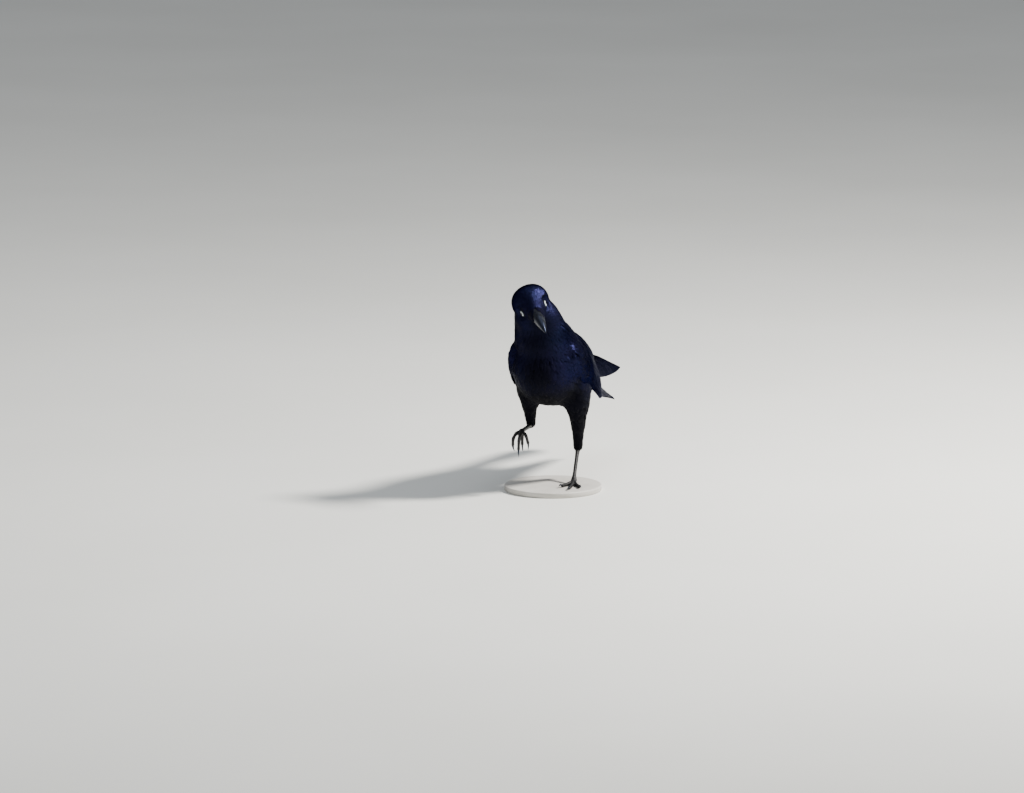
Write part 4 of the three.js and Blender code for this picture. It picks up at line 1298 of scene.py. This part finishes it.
# Bristly feathers that lie forward over the nostrils and the chin: narrow vanes on the bill's surface, from its
# base, the upper ones drawn together towards a line low on each side.
def bristleRings(surface, count, lengths, angle, target):
    share = np.linspace(0, 1, bristles["rows"])[None, :]
    start = dice.uniform(*bristles["start"], count)[:, None]
    turned = lerp(angle, target, 0.35 * share) + dice.normal(0, 0.07, (count, 1)) * share
    lift = dice.uniform(*bristles["lift"], (count, 1))
    rise = lerp(0.2, lift, np.sin(np.pi * np.minimum(share * 0.8 + 0.1, 1)))
    ring = vaneRing(fineColumns, (0,))
    across, face, _ = ring
    half = bristles["width"] / 2 * np.sqrt(np.maximum(1 - share ** 3, 0.02))
    u = across[None, None, :]
    ahead = start + lengths * share
    wide = np.interp(ahead, billRows[:, 0], billRows[:, 1])
    up = rise[..., None] + 0.1 * face - 0.08 * u ** 2
    return surface(ahead[..., None] + 0 * u, turned[..., None] + half[..., None] / wide[..., None] * u, up), ring, share


def nasalBristles():
    count, under = bristles["upper"], bristles["lower"]
    angle = dice.uniform(0.02, np.pi - 0.02, (count, 1))
    low, high = bristles["length"]
    lengths = lerp(high, low, np.sin(angle) ** 2) * dice.uniform(0.75, 1.05, (count, 1))
    target = np.where(angle < np.pi / 2, bristles["low"], np.pi - bristles["low"])
    rings, ring, share = bristleRings(upperBill, count, lengths, angle, target)
    chin = dice.uniform(0.0, np.pi, (under, 1))
    shorter = dice.uniform(*bristles["chinLength"], (under, 1))
    lower, _, _ = bristleRings(lowerBill, under, shorter, chin, chin)
    rings = np.concatenate([rings, lower[:, :, ::-1]])
    lengths = np.concatenate([lengths, shorter])[:, 0]
    total = count + under
    mesh = vaneMesh("nasalBristles", rings, ring, share[0], lengths, dice.random(total),
                    dice.uniform(0.3, 0.7, total), unwrap(rings[:, 0].mean(1), skullSpine[::-1]))
    addPiece("nasalBristles", mesh, fineFeather)


nasalBristles()
print("bill made")


# ---- eyes ----

# The eyeball as rings round its axis; Iris holds the distance from the axis as a share of the iris, and the angle.
def makeEye(sideName):
    side = sides[sideName]
    centre, axis, across, up = eyeAxes(side)
    polar = np.linspace(0.03, np.pi - 0.03, 60)[:, None]
    turn = np.linspace(0, 2 * np.pi, 64, endpoint=False)[None, :]
    cornea = 1 + 0.035 * np.exp(-(polar / 0.55) ** 4)
    rings = centre + eye["radius"] * cornea[..., None] * (
        np.cos(polar)[..., None] * axis
        + np.sin(polar)[..., None] * (np.cos(turn)[..., None] * across + np.sin(turn)[..., None] * up))
    points, faces = tubeOf(rings)
    mesh = meshOf("eye" + sideName.capitalize(), points, faces)
    loops = np.empty(len(mesh.loops), np.int32)
    mesh.loops.foreach_get("vertex_index", loops)
    away = unit(points - centre)
    out = np.degrees(np.arccos(np.clip(away @ axis, -1, 1))) / (eye["opening"] + 3)
    angle = np.arctan2(away @ up, away @ across) / (2 * np.pi)
    layer = mesh.uv_layers.new(name="Iris")
    layer.uv.foreach_set("vector", np.stack([out, np.abs(angle)], -1)[loops].astype(np.float32).ravel())
    addPiece("eye" + sideName.capitalize(), mesh, whiteEye, ["eye_" + sideName])


# The lids: a bare rim round the opening, its profile of heights over the eyeball carried round the eye's axis,
# oval, pinched at the two corners and wrinkled by a fine sine.
def makeLid(sideName):
    side = sides[sideName]
    centre, axis, across, up = eyeAxes(side)
    turn = np.linspace(0, 2 * np.pi, 120, endpoint=False)[None, :]
    profile = splineRows(eye["lid"], 5)
    share, height = profile[:, :1], profile[:, 1:]
    oval = 1 + 0.07 * np.cos(turn) ** 2 + 0.07 * np.abs(np.cos(turn)) ** 14
    polar = np.radians(eye["opening"]) * share * oval
    wrinkle = 0.05 * np.sin(polar * 90 + 2 * np.sin(3 * turn)) * smoothStep(1.08, 1.2, share)
    reach = eye["radius"] + height + wrinkle + 0.12 * np.maximum(np.sin(turn), 0)
    outer = np.stack([np.cos(polar) * reach, np.sin(polar) * np.cos(turn) * reach, np.sin(polar) * np.sin(turn) * reach],
                     -1)
    inner = outer[::-1] * 0.93
    rings = centre + np.concatenate([outer, inner]) @ np.array([axis, across, up])
    n, m = rings.shape[:2]
    grid = np.arange(n * m).reshape(n, m)
    below, turned = np.roll(grid, -1, 0), np.roll(grid, -1, 1)
    faces = np.stack([grid, turned, np.roll(below, -1, 1), below], -1).reshape(-1, 4)
    name = "lid" + sideName.capitalize()
    addPiece(name, meshOf(name, rings.reshape(-1, 3), [faces]), bareLid)


for sideName in sides:
    makeEye(sideName)
    makeLid(sideName)
print("eyes made")


# ---- legs ----

legs = {
    "left": {"ankle": (26.5, 38, 48), "knuckle": (29, 3, 5), "twist": 4, "planted": True},
    "right": {"ankle": (-37, 20, 79), "knuckle": (-35.5, -38, 80), "twist": -2, "planted": False},
}
toes = {"inner": 25, "middle": 36, "outer": 27, "hind": 20}
claws = {"inner": 11.5, "middle": 13, "outer": 10.5, "hind": 15}
# compass turn of each toe, downward bends of its bones, and of its claw
stances = {
    "left": {
        "inner": (-26, (10, 0), (22, 48)), "middle": (2, (10, 0, 0), (20, 46)), "outer": (27, (10, 0, 0), (20, 46)),
        "hind": (183, (12, 0), (24, 52)),
    },
    "right": {
        "inner": (42, (14, 50), (80, 104)), "middle": (8, (8, 38, 72), (96, 116)),
        "outer": (-26, (10, 45, 84), (104, 124)), "hind": (188, (58, 84), (70, 40)),
    },
}
foot = {"toeRadius": 2.7, "sole": 2.35, "voxel": 0.42, "scuteDepth": 0.3, "toeScute": 2.6, "shankScute": 4.4}


# Direction at a compass turn (0 is ahead, positive to the left) and a downward bend.
def heading(turn, bend):
    turn, bend = math.radians(turn), math.radians(bend)
    return np.array([math.sin(turn) * math.cos(bend), -math.cos(turn) * math.cos(bend), -math.sin(bend)])


# Middle lines of a toe and its claw: bones of equal length, each on from the last along its own heading.
def toeLines(legName, toe):
    leg = legs[legName]
    turn, bends, claw = stances[legName][toe]
    compass = turn + leg["twist"]
    line = [np.array(leg["knuckle"]) + 1.5 * heading(compass, 0 if leg["planted"] else bends[0])]
    for bend in bends:
        line.append(line[-1] + heading(compass, bend) * toes[toe] / len(bends))
    if leg["planted"]:
        for i in range(1, len(line)):
            line[i][2] = foot["sole"] + (0.5 if i == 1 else 0)
    hook = [line[-1]]
    for bend in claw:
        hook.append(hook[-1] + heading(compass, bend) * claws[toe] / len(claw))
    if leg["planted"]:
        for point, rise in zip(hook[1:], (foot["sole"] + 0.5, 1.1)):
            point[2] = rise
    return np.array(line), np.array(hook), compass


# Rings square to a path whose width lies along the level direction sideways.
def levelRings(points, sideways, wide, high, count):
    tangent = unit(np.gradient(points, axis=0))
    up = unit(np.cross(tangent, sideways))
    up = up * np.where(up[:, 2:] < -0.3, -1.0, 1.0)
    return ringsAt(points, unit(np.cross(up, tangent)), up, wide, high, count)


# A toe: its girth swells at each pad and shrinks at the joints between, as 1 + 0.08 * cos(2 pi * bone).
def toeTube(legName, toe):
    line, _, compass = toeLines(legName, toe)
    sideways = np.array([math.cos(math.radians(compass)), math.sin(math.radians(compass)), 0])
    rows = splineRows(line, 12)
    bone = np.linspace(0, len(line) - 1, len(rows))
    girth = foot["toeRadius"] * (1.08 - 0.26 * bone / (len(line) - 1)) * (0.97 + 0.07 * np.cos(2 * np.pi * bone))
    last = unit(rows[-1] - rows[-2])
    tip = rows[-1] + last * np.array([[0.6], [1.2], [1.6]])
    ends = foot["toeRadius"] * np.array([0.74, 0.6, 0.42])
    rows, girth = np.vstack([rows, tip]), np.concatenate([girth, ends])
    return tubeOf(levelRings(rows, sideways, girth * 0.94, girth, 20))


# distance down from the ankle, half-width, half-depth
def shankGirth(length):
    return [
        [-3.6, 1.8, 1.6], [-1.5, 4, 3.6], [2, 4.3, 4.4], [7, 3.3, 3.9], [16, 2.7, 3.3], [length - 16, 2.6, 3],
        [length - 7, 3.1, 3.2], [length, 4.3, 3.4], [length + 3.2, 2.4, 2],
    ]


def shankTube(legName):
    ankle, knuckle = (np.array(legs[legName][key], float) for key in ("ankle", "knuckle"))
    length = np.linalg.norm(knuckle - ankle)
    down = (knuckle - ankle) / length
    path = [[*(ankle + down * reach), wide, deep] for reach, wide, deep in shankGirth(length)]
    return tubeOf(limbRings(path, 8, 28))


# Nearest place on a polyline: distance along it, distance from it and the offset from it.
def alongPath(points, path):
    starts, steps = path[:-1], np.diff(path, axis=0)
    run = np.linalg.norm(steps, axis=1)
    t = np.clip(np.einsum("nsk,sk->ns", points[:, None] - starts[None], steps) / run ** 2, 0, 1)
    away = points[:, None] - (starts[None] + t[..., None] * steps[None])
    apart = np.linalg.norm(away, axis=2)
    best = np.argmin(apart, 1)
    pick = np.arange(len(points))
    reach = np.concatenate([[0], np.cumsum(run)])[best] + t[pick, best] * run[best]
    return reach, apart[pick, best], away[pick, best], steps[best] / run[best][:, None]


# Scutes over the front of the shank and the tops of the toes: each plate rises towards its lower edge as a saw
# tooth and drops there into a seam. Soles and the back of the shank get small round pads from a sine lattice.
def addScutes(mesh, legName):
    points, normals = pointsOf(mesh), normalsOf(mesh)
    ankle, knuckle = (np.array(legs[legName][key], float) for key in ("ankle", "knuckle"))
    paths = [np.array([ankle, knuckle])] + [toeLines(legName, toe)[0] for toe in toes]
    pitch = [foot["shankScute"]] + [foot["toeScute"]] * len(toes)
    reaches, aparts, aways, tangents = (np.array(part) for part in zip(*[alongPath(points, p) for p in paths]))
    best = np.argmin(aparts, 0)
    pick = np.arange(len(points))
    reach, away, tangent = reaches[best, pick], aways[best, pick], tangents[best, pick]
    front = np.where((best == 0)[:, None], unit(np.cross([1.0, 0, 0], tangent)), unit(
        np.array([0, 0, 1.0]) - tangent * tangent[:, 2:]))
    front = front * np.where((best == 0) & (front[:, 1] > 0.2), -1.0, 1.0)[:, None]
    facing = (unit(away) * front).sum(1)
    plate = (reach / np.array(pitch)[best]) % 1
    saw = plate - smoothStep(0.86, 1.0, plate) * plate
    topSide = smoothStep(0.05, 0.4, facing)
    seam = smoothStep(0.84, 0.97, plate) * topSide
    lattice = np.sin(points[:, 0] * 5) * np.sin(points[:, 1] * 5) * np.sin(points[:, 2] * 5)
    shift = foot["scuteDepth"] * (saw - 0.6) * topSide + 0.07 * lattice * (1 - topSide)
    moved = points + normals * shift[:, None]
    if legs[legName]["planted"]:
        moved[:, 2] = np.maximum(moved[:, 2], 0.15)
    movePoints(mesh, moved)
    mesh.attributes.new("seam", "FLOAT", "POINT").data.foreach_set("value", (seam * 0.6).astype(np.float32))


# A claw: a cone along a hook through its three points, girth (1 - s)^0.7, deeper than wide, grooved beneath.
def clawTube(legName, toe):
    _, hook, compass = toeLines(legName, toe)
    sideways = np.array([math.cos(math.radians(compass)), math.sin(math.radians(compass)), 0])
    s = np.linspace(-0.12, 1, 22)[:, None]
    a, b, c = hook
    control = 2 * b - (a + c) / 2
    points = (1 - s) ** 2 * a + 2 * s * (1 - s) * control + s ** 2 * c
    if legs[legName]["planted"]:
        arch = 1.6 * np.sin(np.pi * np.clip(s[:, 0], 0, 1)) ** 1.2
        points[:, 2] += arch
    girth = 1.85 * np.maximum(1 - np.clip(s[:, 0], 0, 1) ** 1.35, 0.06)
    return tubeOf(levelRings(points, sideways, girth * 0.78, girth, 16))


def makeLeg(legName):
    label = legName.capitalize()
    tubes = [shankTube(legName)] + [toeTube(legName, toe) for toe in toes]
    mesh = skinOver("leg" + label, tubes, foot["voxel"], 3)
    addScutes(mesh, legName)
    nodes = ["shank_" + legName] + ["toe_" + legName + "_" + toe for toe in toes]
    addPiece("leg" + label, mesh, scaledSkin, nodes)
    points, faces = joined([clawTube(legName, toe) for toe in toes])
    if legs[legName]["planted"]:
        points[:, 2] = np.maximum(points[:, 2], 0.15)
    mesh = meshOf("claws" + label, points, faces)
    addPiece("claws" + label, mesh, blackHorn, ["claw_" + legName + "_" + toe for toe in toes])


for legName in legs:
    makeLeg(legName)
print("legs made")


# ---- base ----

base = {"radius": 68, "bevel": 1.5, "top": -0.15, "count": 160}


# The display base: a profile turned about Z, its upper edge rounded by a quarter circle.
def makeBase():
    arc = np.linspace(0, np.pi / 2, 8)
    bevel, radius = base["bevel"], base["radius"]
    reach = np.concatenate([[radius - bevel / 2, radius], radius - bevel * (1 - np.cos(arc)), [radius - 12, 4]])
    level = np.concatenate([[-baseThickness, -baseThickness + bevel / 2],
                            base["top"] - bevel * (1 - np.sin(arc)), [base["top"]] * 2])
    turn = np.linspace(0, 2 * np.pi, base["count"], endpoint=False)
    rings = np.stack([reach[:, None] * np.cos(turn), reach[:, None] * np.sin(turn), level[:, None] + 0 * turn], -1)
    mesh = meshOf("standBase", *tubeOf(rings))
    addPiece("standBase", mesh, standLacquer, ["stand_base"])
    mesh.set_sharp_from_angle(angle=math.radians(50))


makeBase()
print("base made")


# ---- floor, lights and camera ----

studio = {"floorHalf": 30, "sky": (0.86, 0.9, 0.96), "skyStrength": 0.42}


def makeFloor():
    mesh = bpy.data.meshes.new("floor")
    half = studio["floorHalf"]
    corners = [(-half, -half, 0), (half, -half, 0), (half, half, 0), (-half, half, 0)]
    mesh.from_pydata(corners, [], [(0, 1, 2, 3)])
    mesh.materials.append(floorMaterial())
    floor = bpy.data.objects.new("floor", mesh)
    bpy.context.collection.objects.link(floor)


# azimuth 0 is in front of the bird and 90 to its left; sizes and places in metres
camera = {"azimuth": 15, "elevation": 10, "distance": 9, "lens": 226, "aim": (-0.0609, 0.0057, 0.1286)}
lamps = [
    dict(name="sunSide", azimuth=100, elevation=46, distance=2.6, size=0.45, power=210, colour=(1.0, 0.97, 0.93)),
    dict(name="skyAbove", azimuth=20, elevation=80, distance=3.0, size=2.6, power=36, colour=(0.86, 0.92, 1.0)),
    dict(name="frontFill", azimuth=-45, elevation=22, distance=4.0, size=2.4, power=5, colour=(0.95, 0.97, 1.0)),
]


# Direction from the bird to a place at an azimuth and elevation.
def towards(azimuth, elevation):
    a, e = math.radians(azimuth), math.radians(elevation)
    return Vector((math.sin(a) * math.cos(e), -math.cos(a) * math.cos(e), math.sin(e)))


def lookAt(thing, azimuth, elevation, distance, aim):
    away = towards(azimuth, elevation)
    thing.location = Vector(aim) + away * distance
    thing.rotation_euler = away.to_track_quat("Z", "Y").to_euler()


def makeStudio():
    makeFloor()
    for lamp in lamps:
        light = bpy.data.lights.new(lamp["name"], "AREA")
        light.shape = "DISK"
        light.size = lamp["size"]
        light.energy = lamp["power"]
        light.color = lamp["colour"]
        holder = bpy.data.objects.new(lamp["name"], light)
        bpy.context.collection.objects.link(holder)
        lookAt(holder, lamp["azimuth"], lamp["elevation"], lamp["distance"], (0, 0, 0.16))
    world = bpy.data.worlds.new("studioSky")
    world.use_nodes = True
    background = world.node_tree.nodes["Background"]
    background.inputs["Color"].default_value = (*studio["sky"], 1)
    background.inputs["Strength"].default_value = studio["skyStrength"]
    bpy.context.scene.world = world
    lens = bpy.data.cameras.new("camera")
    lens.lens = camera["lens"]
    lens.sensor_width = 36
    lens.clip_end = 100
    holder = bpy.data.objects.new("camera", lens)
    bpy.context.collection.objects.link(holder)
    lookAt(holder, camera["azimuth"], camera["elevation"], camera["distance"], camera["aim"])
    bpy.context.scene.camera = holder


makeStudio()
print("studio made")
